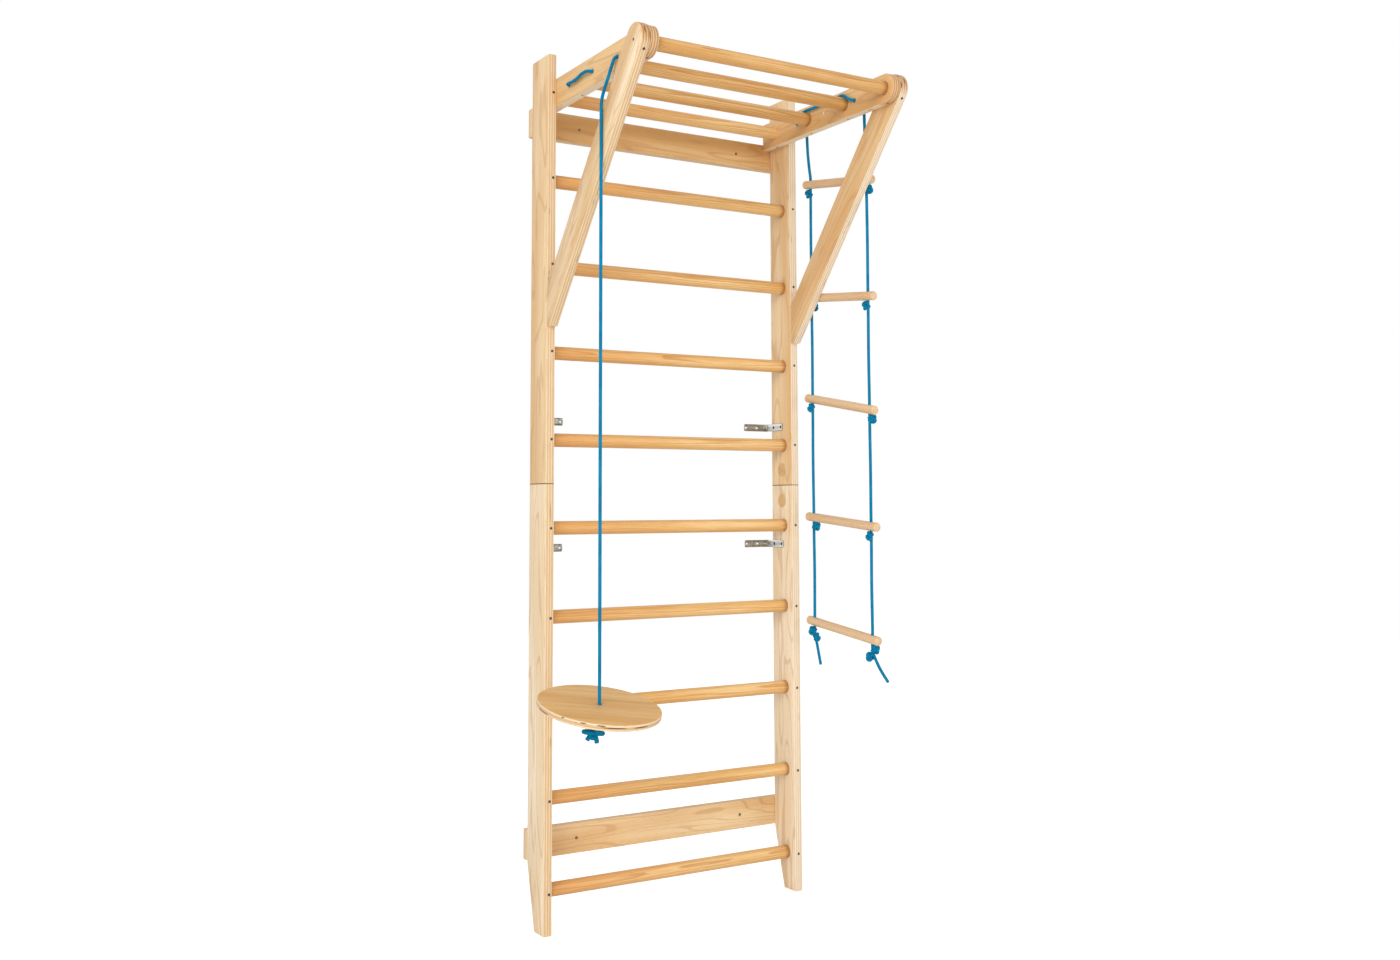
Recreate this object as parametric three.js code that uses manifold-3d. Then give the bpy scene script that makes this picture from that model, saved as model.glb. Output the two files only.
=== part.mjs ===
// Swedish wall bars with an overhead ladder, a disc swing and a rope ladder.
// Millimetres. X runs along the rungs, Y runs back to the wall, Z is up from the floor.

import * as THREE from 'three';
import { mergeVertices } from 'three/addons/utils/BufferGeometryUtils.js';
import Module from 'manifold-3d';

const wasm = await Module();
wasm.setup();

// Driving dimensions: frame
const RUNG_PITCH = 225;
const RUNG_COUNT = 10;
const END_MARGIN = 100;         // from an outer rung's axis to the end of the upright
const CLEAR_WIDTH = 730;        // between the inner faces of the uprights
const BOARD = 24;               // thickness of uprights, arms, braces and battens
const UPRIGHT_DEPTH = 100;
const FOOT_DEPTH = 55;          // what the skirting cut leaves at the floor
const EDGE_ROUND = 2.5;         // eased edges of every board

// Driving dimensions: rungs
const RUNG_DIAMETER = 35;
const RUNG_SETBACK = 42;        // from the front face to the rung's axis
const RUNG_SEAT = 15;           // depth of a blind rung hole

// Driving dimensions: joint at half height
const PLUG_DIAMETER = 38;
const PLUG_DEPTH = 16;
const PLUG_OFFSET = 43.5;       // from the seam to a plug's centre
const JOINT_ROD_DIAMETER = 8;

// Driving dimensions: overhead ladder
const ARM_HEIGHT = 76;
const OVERHEAD_PITCH = 170;
const OVERHEAD_COUNT = 3;       // the top wall rung makes the fourth
const ROPE_HOLE_FIRST = 75;     // in front of the upright's face
const ROPE_HOLE_PITCH = 133;
const BRACE_WIDTH = 80;
const BRACE_DROP = 568;         // from the head's centre to the centre line at the upright
const BRACE_TOE = 15;           // level cut at the lower tip

// Driving dimensions: wall fixings
const BATTEN_HEIGHT = 76;
const BATTEN_LOW_Z = 202;
const BATTEN_HIGH_DROP = 58;    // below the top rung's axis
const BATTEN_HOLE_X = 250;
const BATTEN_HOLE = 6;
const BATTEN_SINK = 12;
const BRACKET_LEG = 80;
const BRACKET_WIDTH = 20;
const BRACKET_SHEET = 2.5;
const BRACKET_BEND = 4;
const BRACKET_HOLES = [37, 73]; // from the bend
const BRACKET_HOLE = 5.5;
const BRACKET_TIP = 6;          // corner radius of a leg's end
const BRACKET_BEYOND_RUNG = 53; // from the axis of the rung next to the seam

// Driving dimensions: ropes, disc swing and rope ladder
const ROPE = 8;
const ROPE_HOLE = 10;
const ROPE_HOLE_EASE = 3;
const DISC_DIAMETER = 290;
const DISC_THICKNESS = 15;
const DISC_HOLE = 13;
const DISC_EDGE = 3;
const DISC_DROP = 1531;         // below the top rung's axis
const DISC_TILT_X = 12;         // degrees, front edge down
const DISC_TILT_Y = 3;
const DISC_KNOT_RADIUS = 21;
const DISC_KNOT_HEIGHT = 80;
const LADDER_GAP = 1;           // between the ladder's rungs and the brace's outer face
const LADDER_MIDDLE_Y = -182;
const LADDER_RUNG_DIAMETER = 24;
const LADDER_RUNG_LENGTH = 312;
const LADDER_HOLE_SPACING = 258;
const LADDER_REAR_DROP = [162, 487, 773, 1103, 1390];   // rung heights, below the top rung's axis
const LADDER_FRONT_DROP = [200, 515, 818, 1126, 1420];
const KNOT_RADIUS = 11;
const KNOT_HEIGHT = 20;
const END_KNOT_HEIGHT = 38;

// Clearances
const FIT = 0.3;                // around and behind a seated piece
const ROPE_HINGE_STUB = 1;      // how far the bridge rope stands out of the arm

// Places that follow from the dimensions
const HEIGHT = 2 * END_MARGIN + (RUNG_COUNT - 1) * RUNG_PITCH;
const SEAM_Z = HEIGHT / 2;
const TOP_RUNG_Z = HEIGHT - END_MARGIN;
const INNER_X = CLEAR_WIDTH / 2;
const OUTER_X = INNER_X + BOARD;
const ARM_X = INNER_X - BOARD / 2;
const WALL_Y = UPRIGHT_DEPTH + BOARD;
const BATTEN_HIGH_Z = TOP_RUNG_Z - BATTEN_HIGH_DROP;
const BRACKET_OFFSET = RUNG_PITCH / 2 + BRACKET_BEYOND_RUNG;
const HEAD_Y = RUNG_SETBACK - OVERHEAD_COUNT * OVERHEAD_PITCH;
const JOINT_Y = UPRIGHT_DEPTH / 2;
const BRACE_SLANT = Math.atan2(-HEAD_Y, BRACE_DROP);
const BRACE_HALF_RISE = BRACE_WIDTH / 2 / Math.sin(BRACE_SLANT);
const ROPE_HOLES_Y = [0, 1, 2].map((i) => -ROPE_HOLE_FIRST - i * ROPE_HOLE_PITCH);
const [HOLE_REAR, HOLE_MIDDLE, HOLE_FRONT] = ROPE_HOLES_Y;
const DISC_Z = TOP_RUNG_Z - DISC_DROP;
const LADDER_X = OUTER_X + LADDER_RUNG_DIAMETER / 2 + LADDER_GAP;
const LADDER_REAR_Z = LADDER_REAR_DROP.map((drop) => TOP_RUNG_Z - drop);
const LADDER_FRONT_Z = LADDER_FRONT_DROP.map((drop) => TOP_RUNG_Z - drop);
const LADDER_REAR_Y = LADDER_MIDDLE_Y + LADDER_HOLE_SPACING / 2;
const LADDER_FRONT_Y = LADDER_MIDDLE_Y - LADDER_HOLE_SPACING / 2;
const ROPE_PIVOT_OUT = BOARD / 2 + ROPE_HINGE_STUB + FIT + ROPE / 2;

// Facets
const ROUND_SIDES = 24;
const SMALL_SIDES = 10;         // bars and holes under SMALL_DIAMETER
const SMALL_DIAMETER = 15;
const DISC_SIDES = 48;
const LADDER_RUNG_SIDES = 16;
const ROPE_SIDES = 10;

// Looks
const PLY = new THREE.MeshStandardMaterial({ color: 0xe6c696, roughness: 0.55, metalness: 0 });
const PINE = new THREE.MeshStandardMaterial({ color: 0xe1a55f, roughness: 0.45, metalness: 0 });
const BEECH = new THREE.MeshStandardMaterial({ color: 0xdcaf82, roughness: 0.5, metalness: 0 });
const ROPE_BLUE = new THREE.MeshStandardMaterial({ color: 0x0078aa, roughness: 0.8, metalness: 0 });
const ZINC = new THREE.MeshStandardMaterial({ color: 0xb4b4aa, roughness: 0.4, metalness: 0.9 });

// Where an outline drawn in a plane goes: side outlines face X, front outlines face the room.
const SIDE_PLANE = new THREE.Matrix4().makeBasis(
  new THREE.Vector3(0, 1, 0), new THREE.Vector3(0, 0, 1), new THREE.Vector3(1, 0, 0));
const FRONT_PLANE = new THREE.Matrix4().makeBasis(
  new THREE.Vector3(1, 0, 0), new THREE.Vector3(0, 0, 1), new THREE.Vector3(0, -1, 0));

/** Turns a closed three.js geometry into a solid that can be joined and cut. */
function solid(geometry) {
  const bare = geometry.clone();
  bare.deleteAttribute('normal');
  bare.deleteAttribute('uv');
  const merged = mergeVertices(bare);
  return new wasm.Manifold(new wasm.Mesh({
    numProp: 3,
    vertProperties: Float32Array.from(merged.attributes.position.array),
    triVerts: Uint32Array.from(merged.index.array),
  }));
}

/** Turns a solid back into a three.js geometry. */
function geometryOf(body) {
  const mesh = body.getMesh();
  const geometry = new THREE.BufferGeometry();
  geometry.setAttribute('position', new THREE.BufferAttribute(mesh.vertProperties, 3));
  geometry.setIndex(new THREE.BufferAttribute(mesh.triVerts, 1));
  geometry.computeVertexNormals();
  return geometry;
}

/** A plate of the given outline with eased edges, standing on the outline's plane. */
function board(shape, plane) {
  const geometry = new THREE.ExtrudeGeometry(shape, {
    depth: BOARD - 2 * EDGE_ROUND,
    bevelThickness: EDGE_ROUND,
    bevelSize: EDGE_ROUND,
    bevelOffset: -EDGE_ROUND,
    bevelSegments: 2,
    curveSegments: ROUND_SIDES / 4,
  });
  geometry.translate(0, 0, EDGE_ROUND);
  return geometry.applyMatrix4(plane);
}

/** A round bar along X, Y or Z, centred on a point. */
function bar(axis, diameter, length, x, y, z) {
  const sides = diameter < SMALL_DIAMETER ? SMALL_SIDES : ROUND_SIDES;
  const geometry = new THREE.CylinderGeometry(diameter / 2, diameter / 2, length, sides);
  if (axis === 'x') geometry.rotateZ(-Math.PI / 2);
  if (axis === 'z') geometry.rotateX(Math.PI / 2);
  return geometry.translate(x, y, z);
}

/** A hole along X through a board, eased where a rope runs over its rims. */
function easedHole(x, y, z) {
  const half = BOARD / 2;
  const wide = ROPE_HOLE / 2 + ROPE_HOLE_EASE;
  const over = half + ROPE_HOLE_EASE;
  const profile = [
    [0, -over], [wide + ROPE_HOLE_EASE, -over], [wide, -half], [ROPE_HOLE / 2, -half + ROPE_HOLE_EASE],
    [ROPE_HOLE / 2, half - ROPE_HOLE_EASE], [wide, half], [wide + ROPE_HOLE_EASE, over], [0, over],
  ].map(([r, along]) => new THREE.Vector2(r, along));
  const geometry = new THREE.LatheGeometry(profile, SMALL_SIDES);
  return geometry.rotateZ(-Math.PI / 2).translate(x, y, z);
}

/** A rope's route: a smooth curve whose even steps fall on the points it was given. */
class RopeRoute extends THREE.CatmullRomCurve3 {
  getPointAt(u, target) {
    return this.getPoint(u, target);
  }

  getTangentAt(u, target) {
    return this.getTangent(u, target);
  }
}

/** A rope along points, as a closed tube with a ring at each point. */
function ropeTube(points) {
  const section = new THREE.Shape();
  section.absarc(0, 0, ROPE / 2, 0, 2 * Math.PI, false);
  return new THREE.ExtrudeGeometry(section, {
    steps: points.length - 1,
    extrudePath: new RopeRoute(points, false, 'centripetal'),
    curveSegments: ROPE_SIDES / 2,
  });
}

/** A ball on the rope where a hanging stretch turns. */
function ropeBall(point) {
  const geometry = new THREE.SphereGeometry(ROPE / 2, ROPE_SIDES, ROPE_SIDES / 2);
  return geometry.rotateX(Math.PI / 2).translate(point.x, point.y, point.z);
}

/** A knot below a seat: a round shoulder of the given radius and a flat underside. */
function knot(radius, height, x, y, topZ) {
  const steps = 3;
  const profile = [];
  for (let i = 0; i <= steps; i += 1) {
    const angle = (i / steps) * (Math.PI / 2);
    profile.push(new THREE.Vector2(radius * Math.sin(angle), topZ - radius * (1 - Math.cos(angle))));
  }
  profile.push(new THREE.Vector2(radius * 0.9, topZ - height * 0.8));
  profile.push(new THREE.Vector2(radius * 0.6, topZ - height));
  profile.push(new THREE.Vector2(0, topZ - height));
  const geometry = new THREE.LatheGeometry(profile.reverse(), SMALL_SIDES);
  return geometry.rotateX(Math.PI / 2).translate(x, y, 0);
}

const wallBars = new THREE.Group();
wallBars.name = 'wall_bars';
wallBars.position.set(0, -WALL_Y, -BATTEN_HIGH_Z);

/** Adds one named piece. */
function add(name, geometry, material) {
  const mesh = new THREE.Mesh(geometry, material);
  mesh.name = name;
  wallBars.add(mesh);
}

/** Adds one named piece made of a base geometry, with joined and cut geometries. */
function addCut(name, base, material, cuts, joins = []) {
  let body = solid(base);
  joins.forEach((geometry) => { body = body.add(solid(geometry)); });
  cuts.forEach((geometry) => { body = body.subtract(solid(geometry)); });
  add(name, geometryOf(body), material);
}

const SIDES = [{ name: 'left', sign: -1 }, { name: 'right', sign: 1 }];
const RUNG_HOLE = RUNG_DIAMETER + 2 * FIT;
const rungZ = (i) => END_MARGIN + i * RUNG_PITCH;
const overheadY = (i) => RUNG_SETBACK - i * OVERHEAD_PITCH;
const braceMiddleZ = (y) => TOP_RUNG_Z - (y - HEAD_Y) / Math.tan(BRACE_SLANT);

/** A blind hole for a rung's end in a board whose inner face is at innerX. */
function rungHole(sign, innerX, y, z) {
  return bar('x', RUNG_HOLE, 2 * RUNG_SEAT, sign * innerX, y, z);
}

/** Uprights, each in two halves with a seam at half height. */
function addUprights({ name, sign }) {
  const skirtZ = BATTEN_LOW_Z - BATTEN_HEIGHT / 2;
  const lower = new THREE.Shape([
    [0, 0], [FOOT_DEPTH, 0], [UPRIGHT_DEPTH, skirtZ], [UPRIGHT_DEPTH, SEAM_Z], [0, SEAM_Z],
  ].map(([y, z]) => new THREE.Vector2(y, z)));
  const upper = new THREE.Shape([
    [0, SEAM_Z], [UPRIGHT_DEPTH, SEAM_Z], [UPRIGHT_DEPTH, HEIGHT], [0, HEIGHT],
  ].map(([y, z]) => new THREE.Vector2(y, z)));
  const rodX = sign * (INNER_X + PLUG_DEPTH / 2);
  const rodHole = bar('z', JOINT_ROD_DIAMETER + 2 * FIT, 2 * PLUG_OFFSET, rodX, JOINT_Y, SEAM_Z);
  const startX = sign > 0 ? INNER_X : -OUTER_X;
  [['lower', lower, -1], ['upper', upper, 1]].forEach(([half, shape, up]) => {
    const plugZ = SEAM_Z + up * PLUG_OFFSET;
    const pocket = bar('x', PLUG_DIAMETER + 2 * FIT, 2 * PLUG_DEPTH, sign * INNER_X, JOINT_Y, plugZ);
    const rungs = [...Array(RUNG_COUNT).keys()].map(rungZ).filter((z) => (z - SEAM_Z) * up > 0);
    const holes = rungs.map((z) => rungHole(sign, INNER_X, RUNG_SETBACK, z));
    const base = board(shape, SIDE_PLANE).translate(startX, 0, 0);
    addCut(`upright_${name}_${half}`, base, PLY, [pocket, rodHole, ...holes]);

    const plugX = sign * (INNER_X + (PLUG_DEPTH - FIT) / 2);
    const plug = bar('x', PLUG_DIAMETER, PLUG_DEPTH - FIT, plugX, JOINT_Y, plugZ);
    addCut(`joint_plug_${name}_${half}`, plug, BEECH, [rodHole]);
  });
  const rodLength = 2 * (PLUG_OFFSET - FIT);
  add(`joint_rod_${name}`, bar('z', JOINT_ROD_DIAMETER, rodLength, rodX, JOINT_Y, SEAM_Z), ZINC);
}

/** Rungs: the wall rungs, and the overhead ones, of which the front one reaches into the braces. */
function addRungs() {
  const longRung = CLEAR_WIDTH + 2 * (RUNG_SEAT - FIT);
  const shortRung = longRung - 2 * BOARD;
  for (let i = 0; i < RUNG_COUNT; i += 1) {
    const number = String(i + 1).padStart(2, '0');
    add(`wall_rung_${number}`, bar('x', RUNG_DIAMETER, longRung, 0, RUNG_SETBACK, rungZ(i)), PINE);
  }
  for (let i = 1; i <= OVERHEAD_COUNT; i += 1) {
    const length = i === OVERHEAD_COUNT ? longRung : shortRung;
    add(`overhead_rung_${i}`, bar('x', RUNG_DIAMETER, length, 0, overheadY(i), TOP_RUNG_Z), PINE);
  }
}

/** Arms: boards on the inner side of the uprights with a round front end and three rope holes. */
function addArm({ name, sign }) {
  const half = ARM_HEIGHT / 2;
  const outline = new THREE.Shape();
  outline.moveTo(UPRIGHT_DEPTH, TOP_RUNG_Z + half);
  outline.lineTo(HEAD_Y, TOP_RUNG_Z + half);
  outline.absarc(HEAD_Y, TOP_RUNG_Z, half, Math.PI / 2, 1.5 * Math.PI, false);
  outline.lineTo(UPRIGHT_DEPTH, TOP_RUNG_Z - half);
  outline.closePath();
  const through = (i) => bar('x', RUNG_HOLE, 2 * BOARD, sign * ARM_X, overheadY(i), TOP_RUNG_Z);
  const blind = (i) => rungHole(sign, INNER_X - BOARD, overheadY(i), TOP_RUNG_Z);
  const holes = [through(0), through(OVERHEAD_COUNT)];
  for (let i = 1; i < OVERHEAD_COUNT; i += 1) holes.push(blind(i));
  ROPE_HOLES_Y.forEach((y) => holes.push(easedHole(sign * ARM_X, y, TOP_RUNG_Z)));
  const startX = sign > 0 ? INNER_X - BOARD : -INNER_X;
  addCut(`arm_${name}`, board(outline, SIDE_PLANE).translate(startX, 0, 0), PLY, holes);
}

/** Braces: slanted boards in the plane of the uprights, round at the head, cut to the front face. */
function addBrace({ name, sign }) {
  const half = BRACE_WIDTH / 2;
  const toeZ = braceMiddleZ(-BRACE_TOE) - BRACE_HALF_RISE;
  const outline = new THREE.Shape();
  outline.moveTo(0, braceMiddleZ(0) + BRACE_HALF_RISE);
  outline.lineTo(HEAD_Y + half * Math.cos(BRACE_SLANT), TOP_RUNG_Z + half * Math.sin(BRACE_SLANT));
  outline.absarc(HEAD_Y, TOP_RUNG_Z, half, BRACE_SLANT, BRACE_SLANT + Math.PI, false);
  outline.lineTo(-BRACE_TOE, toeZ);
  outline.lineTo(0, toeZ);
  outline.closePath();
  const startX = sign > 0 ? INNER_X : -OUTER_X;
  const hole = rungHole(sign, INNER_X, HEAD_Y, TOP_RUNG_Z);
  addCut(`brace_${name}`, board(outline, SIDE_PLANE).translate(startX, 0, 0), PLY, [hole]);
}

/** Battens behind the uprights, with a sunk screw hole near each end. */
function addBatten(name, z) {
  const half = BATTEN_HEIGHT / 2;
  const outline = new THREE.Shape([
    [-OUTER_X, z - half], [OUTER_X, z - half], [OUTER_X, z + half], [-OUTER_X, z + half],
  ].map(([x, up]) => new THREE.Vector2(x, up)));
  const sink = [
    [0, -FIT], [BATTEN_SINK / 2 + FIT, -FIT], [BATTEN_HOLE / 2, (BATTEN_SINK - BATTEN_HOLE) / 2],
    [BATTEN_HOLE / 2, BOARD + FIT], [0, BOARD + FIT],
  ].map(([r, along]) => new THREE.Vector2(r, along));
  const holes = [-BATTEN_HOLE_X, BATTEN_HOLE_X].map(
    (x) => new THREE.LatheGeometry(sink, SMALL_SIDES).translate(x, UPRIGHT_DEPTH, z));
  addCut(`batten_${name}`, board(outline, FRONT_PLANE).translate(0, WALL_Y, 0), PLY, holes);
}

/** Angle brackets: one leg on the upright's inner face, one along the wall. */
function addBracket({ name, sign }, level, z) {
  const bend = BRACKET_BEND;
  const sheet = BRACKET_SHEET;
  const profile = new THREE.Shape();
  profile.moveTo(0, -BRACKET_LEG);
  profile.lineTo(0, -bend);
  profile.absarc(-bend, -bend, bend, 0, Math.PI / 2, false);
  profile.lineTo(-BRACKET_LEG, 0);
  profile.lineTo(-BRACKET_LEG, -sheet);
  profile.lineTo(-bend, -sheet);
  profile.absarc(-bend, -bend, bend - sheet, Math.PI / 2, 0, true);
  profile.lineTo(-sheet, -BRACKET_LEG);
  profile.closePath();
  const strip = new THREE.ExtrudeGeometry(profile, {
    depth: BRACKET_WIDTH, bevelEnabled: false, curveSegments: 2,
  }).translate(0, 0, -BRACKET_WIDTH / 2);

  const half = BRACKET_WIDTH / 2;
  const tip = BRACKET_TIP;
  const leg = new THREE.Shape();
  leg.moveTo(1, -half);
  leg.lineTo(1, half);
  leg.lineTo(-BRACKET_LEG + tip, half);
  leg.absarc(-BRACKET_LEG + tip, half - tip, tip, Math.PI / 2, Math.PI, false);
  leg.absarc(-BRACKET_LEG + tip, -half + tip, tip, Math.PI, 1.5 * Math.PI, false);
  leg.closePath();
  const block = new THREE.ExtrudeGeometry(leg, {
    depth: 2 * BRACKET_LEG, bevelEnabled: false, curveSegments: 2,
  }).translate(0, 0, -BRACKET_LEG);

  let body = solid(strip);
  body = body.intersect(solid(block.clone().applyMatrix4(SIDE_PLANE)));
  body = body.intersect(solid(block.clone().applyMatrix4(FRONT_PLANE)));
  BRACKET_HOLES.forEach((along) => {
    body = body.subtract(solid(bar('x', BRACKET_HOLE, 4 * sheet, 0, -along, 0)));
    body = body.subtract(solid(bar('y', BRACKET_HOLE, 4 * sheet, -along, 0, 0)));
  });
  const geometry = geometryOf(body);
  if (sign < 0) geometry.rotateX(Math.PI).rotateZ(Math.PI);
  add(`bracket_${name}_${level}`, geometry.translate(sign * INNER_X, WALL_Y, z), ZINC);
}

/** Points beside an arm: [out from its middle plane, y, up from the top rung's axis]. */
function routeBesideArm(sign, points) {
  return points.map(([out, y, up]) => new THREE.Vector3(sign * (ARM_X + out), y, TOP_RUNG_Z + up));
}

// The swing's rope: from its stopper knot through the three holes of the left arm, over the second
// overhead rung, out over the rear edge of the brace and down past the brace's front edge.
const SWING_OUT = OUTER_X - ARM_X + ROPE / 2 + 2 * FIT;
const SWING_Y = -314;
const SWING_FREE_Z = braceMiddleZ(SWING_Y) - BRACE_HALF_RISE - ROPE;
const SWING_ROUTE = [
  [-16, HOLE_REAR, 0], [-8, HOLE_REAR, 0], [8, HOLE_REAR, 0], [15, -77, 0], [20, -83, -1],
  [22, -92, -2], [21, -115, -3], [20, -142, 0], [21, -168, 3], [22, -191, 2], [20, -200, 1],
  [15, -206, 0], [8, HOLE_MIDDLE, 0], [-8, HOLE_MIDDLE, 0], [-15, -210, 1], [-20, -216, 3],
  [-22, -226, 8], [-21, -262, 20], [-20, -298, 23], [-21, -312, 18], [-21, -322, 10],
  [-19, -332, 4], [-15, -339, 1], [-8, HOLE_FRONT, 0], [8, HOLE_FRONT, 0], [15, -341, -2],
  [20, -340, -8], [23, -338, -20], [28.5, -332, -50], [34.5, -325, -78], [39, -317.5, -106],
  [SWING_OUT, SWING_Y, -126], [SWING_OUT, SWING_Y, -160], [SWING_OUT, SWING_Y, SWING_FREE_Z - TOP_RUNG_Z],
];

/** The disc swing: the woven rope, a short hanging stretch, the long stretch with its knot, the disc. */
function addSwing() {
  const woven = routeBesideArm(-1, SWING_ROUTE);
  const stopper = knot(KNOT_RADIUS, KNOT_HEIGHT, 0, 0, 0).rotateY(-Math.PI / 2)
    .translate(-ARM_X + BOARD / 2 + FIT, -ROPE_HOLE_FIRST, TOP_RUNG_Z);
  addCut('disc_rope_woven', ropeTube(woven), ROPE_BLUE, [], [stopper]);

  const x = -(ARM_X + SWING_OUT);
  const y = SWING_Y;
  const stretch = (topZ, bottomZ) => [topZ, bottomZ].map((z) => new THREE.Vector3(x, y, z));
  const upperTop = SWING_FREE_Z - FIT - ROPE / 2;
  const upperBottom = upperTop - 4 * ROPE;
  const upper = stretch(upperTop, upperBottom);
  addCut('disc_rope_upper', ropeTube(upper), ROPE_BLUE, [], [ropeBall(upper[0])]);

  const tilt = new THREE.Euler(
    THREE.MathUtils.degToRad(DISC_TILT_X), THREE.MathUtils.degToRad(DISC_TILT_Y), 0);
  const normalZ = new THREE.Vector3(0, 0, 1).applyEuler(tilt).z;
  const lowerTop = upperBottom - FIT - ROPE / 2;
  const knotTop = DISC_Z + DISC_KNOT_RADIUS - (DISC_THICKNESS / 2 + FIT + DISC_KNOT_RADIUS) / normalZ;
  const lower = stretch(lowerTop, knotTop - DISC_KNOT_HEIGHT / 2);
  addCut('disc_rope_lower', ropeTube(lower), ROPE_BLUE, [],
    [ropeBall(lower[0]), knot(DISC_KNOT_RADIUS, DISC_KNOT_HEIGHT, x, y, knotTop)]);

  const half = DISC_THICKNESS / 2;
  const rim = DISC_DIAMETER / 2;
  const outline = new THREE.Shape();
  outline.moveTo(DISC_HOLE / 2, -half);
  outline.lineTo(rim - DISC_EDGE, -half);
  outline.absarc(rim - DISC_EDGE, -half + DISC_EDGE, DISC_EDGE, -Math.PI / 2, 0, false);
  outline.absarc(rim - DISC_EDGE, half - DISC_EDGE, DISC_EDGE, 0, Math.PI / 2, false);
  outline.lineTo(DISC_HOLE / 2, half);
  outline.closePath();
  const profile = outline.getPoints(1);
  const disc = new THREE.LatheGeometry(profile, DISC_SIDES).rotateX(Math.PI / 2);
  disc.applyMatrix4(new THREE.Matrix4().makeRotationFromEuler(tilt)).translate(x, y, DISC_Z);
  add('disc', disc, PLY);
}

// The ladder's rope crosses the right arm's inner face, over two overhead rungs, between two holes.
const BRIDGE_END = BOARD / 2 + ROPE_HINGE_STUB;
const BRIDGE_ROUTE = [
  [BRIDGE_END, HOLE_FRONT, 0], [5, HOLE_FRONT, 0], [-8, HOLE_FRONT, 0], [-15, -339, 1], [-19, -332, 4],
  [-21, -322, 10], [-21, -312, 18], [-20, -298, 23], [-20, -270, 22.5], [-20, -213, 21.5],
  [-20, -156, 22.5], [-20, -128, 23], [-21, -112, 18], [-21, -97, 9], [-19, -85, 4],
  [-15, -77, 1], [-8, HOLE_REAR, 0], [5, HOLE_REAR, 0], [BRIDGE_END, HOLE_REAR, 0],
];

// From the holes the two ropes lean out round the brace to the first ladder rung.
const LADDER_OUT = LADDER_X - ARM_X;
const LADDER_TOP_REAR = [
  [ROPE_PIVOT_OUT, HOLE_REAR, 0], [ROPE_PIVOT_OUT, HOLE_REAR, -8], [20, -73.5, -32], [31, -66, -78],
  [43, -57, -122], [LADDER_OUT, LADDER_REAR_Y, -142],
];
const LADDER_TOP_FRONT = [
  [ROPE_PIVOT_OUT, HOLE_FRONT, 0], [ROPE_PIVOT_OUT, HOLE_FRONT, -8], [21, -338, -34], [30, -330.5, -74],
  [38.5, -323.5, -103], [43.5, -318.5, -127], [48, -312.5, -160], [LADDER_OUT, LADDER_FRONT_Y, -178],
];
const LADDER_TAILS = {
  rear: [[0, 0], [-4, -14], [-12, -38], [-24, -72]],
  front: [[0, 0], [-8, -14], [-30, -40], [-60, -64]],
};

/** One side of the ladder: a stretch of rope for each rung, with the knot that carries the rung. */
function addLadderRope(side, y, heights, tilts, topRoute) {
  let start = null;
  heights.forEach((z, i) => {
    const last = i === heights.length - 1;
    const seat = (LADDER_RUNG_DIAMETER / 2 + FIT + KNOT_RADIUS) / Math.cos(tilts[i]) - KNOT_RADIUS;
    const knotTop = z - seat;
    const knotHeight = last ? END_KNOT_HEIGHT : KNOT_HEIGHT;
    const end = new THREE.Vector3(LADDER_X, y, knotTop - knotHeight / 2);
    const points = i === 0 ? routeBesideArm(1, topRoute) : [start];
    const joins = [ropeBall(points[0]), knot(KNOT_RADIUS, knotHeight, LADDER_X, y, knotTop)];
    if (last) {
      const tail = LADDER_TAILS[side].map(([dy, dz]) => new THREE.Vector3(LADDER_X, y + dy, end.z + dz));
      joins.push(ropeTube(tail));
    }
    addCut(`ladder_rope_${side}_${i + 1}`, ropeTube([...points, end]), ROPE_BLUE, [], joins);
    start = new THREE.Vector3(LADDER_X, y, knotTop - knotHeight - FIT - ROPE / 2);
  });
}

/** The rope ladder: round rungs on two knotted ropes that hang outside the right brace. */
function addLadder() {
  const tilts = LADDER_REAR_Z.map((z, i) => Math.atan2(z - LADDER_FRONT_Z[i], LADDER_HOLE_SPACING));
  const radius = LADDER_RUNG_DIAMETER / 2;
  const round = radius / 4;
  const half = LADDER_RUNG_LENGTH / 2;
  const profile = [
    [0, -half], [radius - round, -half], [radius, -half + round],
    [radius, half - round], [radius - round, half], [0, half],
  ].map(([r, along]) => new THREE.Vector2(r, along));
  tilts.forEach((tilt, i) => {
    const middleZ = (LADDER_REAR_Z[i] + LADDER_FRONT_Z[i]) / 2;
    const rung = new THREE.LatheGeometry(profile, LADDER_RUNG_SIDES).rotateX(tilt)
      .translate(LADDER_X, LADDER_MIDDLE_Y, middleZ);
    const holes = [LADDER_REAR_Y, LADDER_FRONT_Y].map(
      (y) => bar('z', ROPE_HOLE, 4 * LADDER_RUNG_DIAMETER, LADDER_X, y, middleZ));
    addCut(`ladder_rung_${i + 1}`, rung, BEECH, holes);
  });
  add('ladder_rope_bridge', ropeTube(routeBesideArm(1, BRIDGE_ROUTE)), ROPE_BLUE);
  addLadderRope('rear', LADDER_REAR_Y, LADDER_REAR_Z, tilts, LADDER_TOP_REAR);
  addLadderRope('front', LADDER_FRONT_Y, LADDER_FRONT_Z, tilts, LADDER_TOP_FRONT);
}

SIDES.forEach((side) => {
  addUprights(side);
  addArm(side);
  addBrace(side);
  addBracket(side, 'lower', SEAM_Z - BRACKET_OFFSET);
  addBracket(side, 'upper', SEAM_Z + BRACKET_OFFSET);
});
addRungs();
addBatten('lower', BATTEN_LOW_Z);
addBatten('upper', BATTEN_HIGH_Z);
addSwing();
addLadder();

export default wallBars;
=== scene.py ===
"""Swedish wall bars with an overhead ladder, a disc swing and a rope ladder: the visual model.

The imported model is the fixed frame. Its boards, rungs, plugs and rods keep their solids and get finishes. The
ropes, knots, disc, ladder rungs, wall brackets and screws are modelled here in their places.
"""

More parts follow.
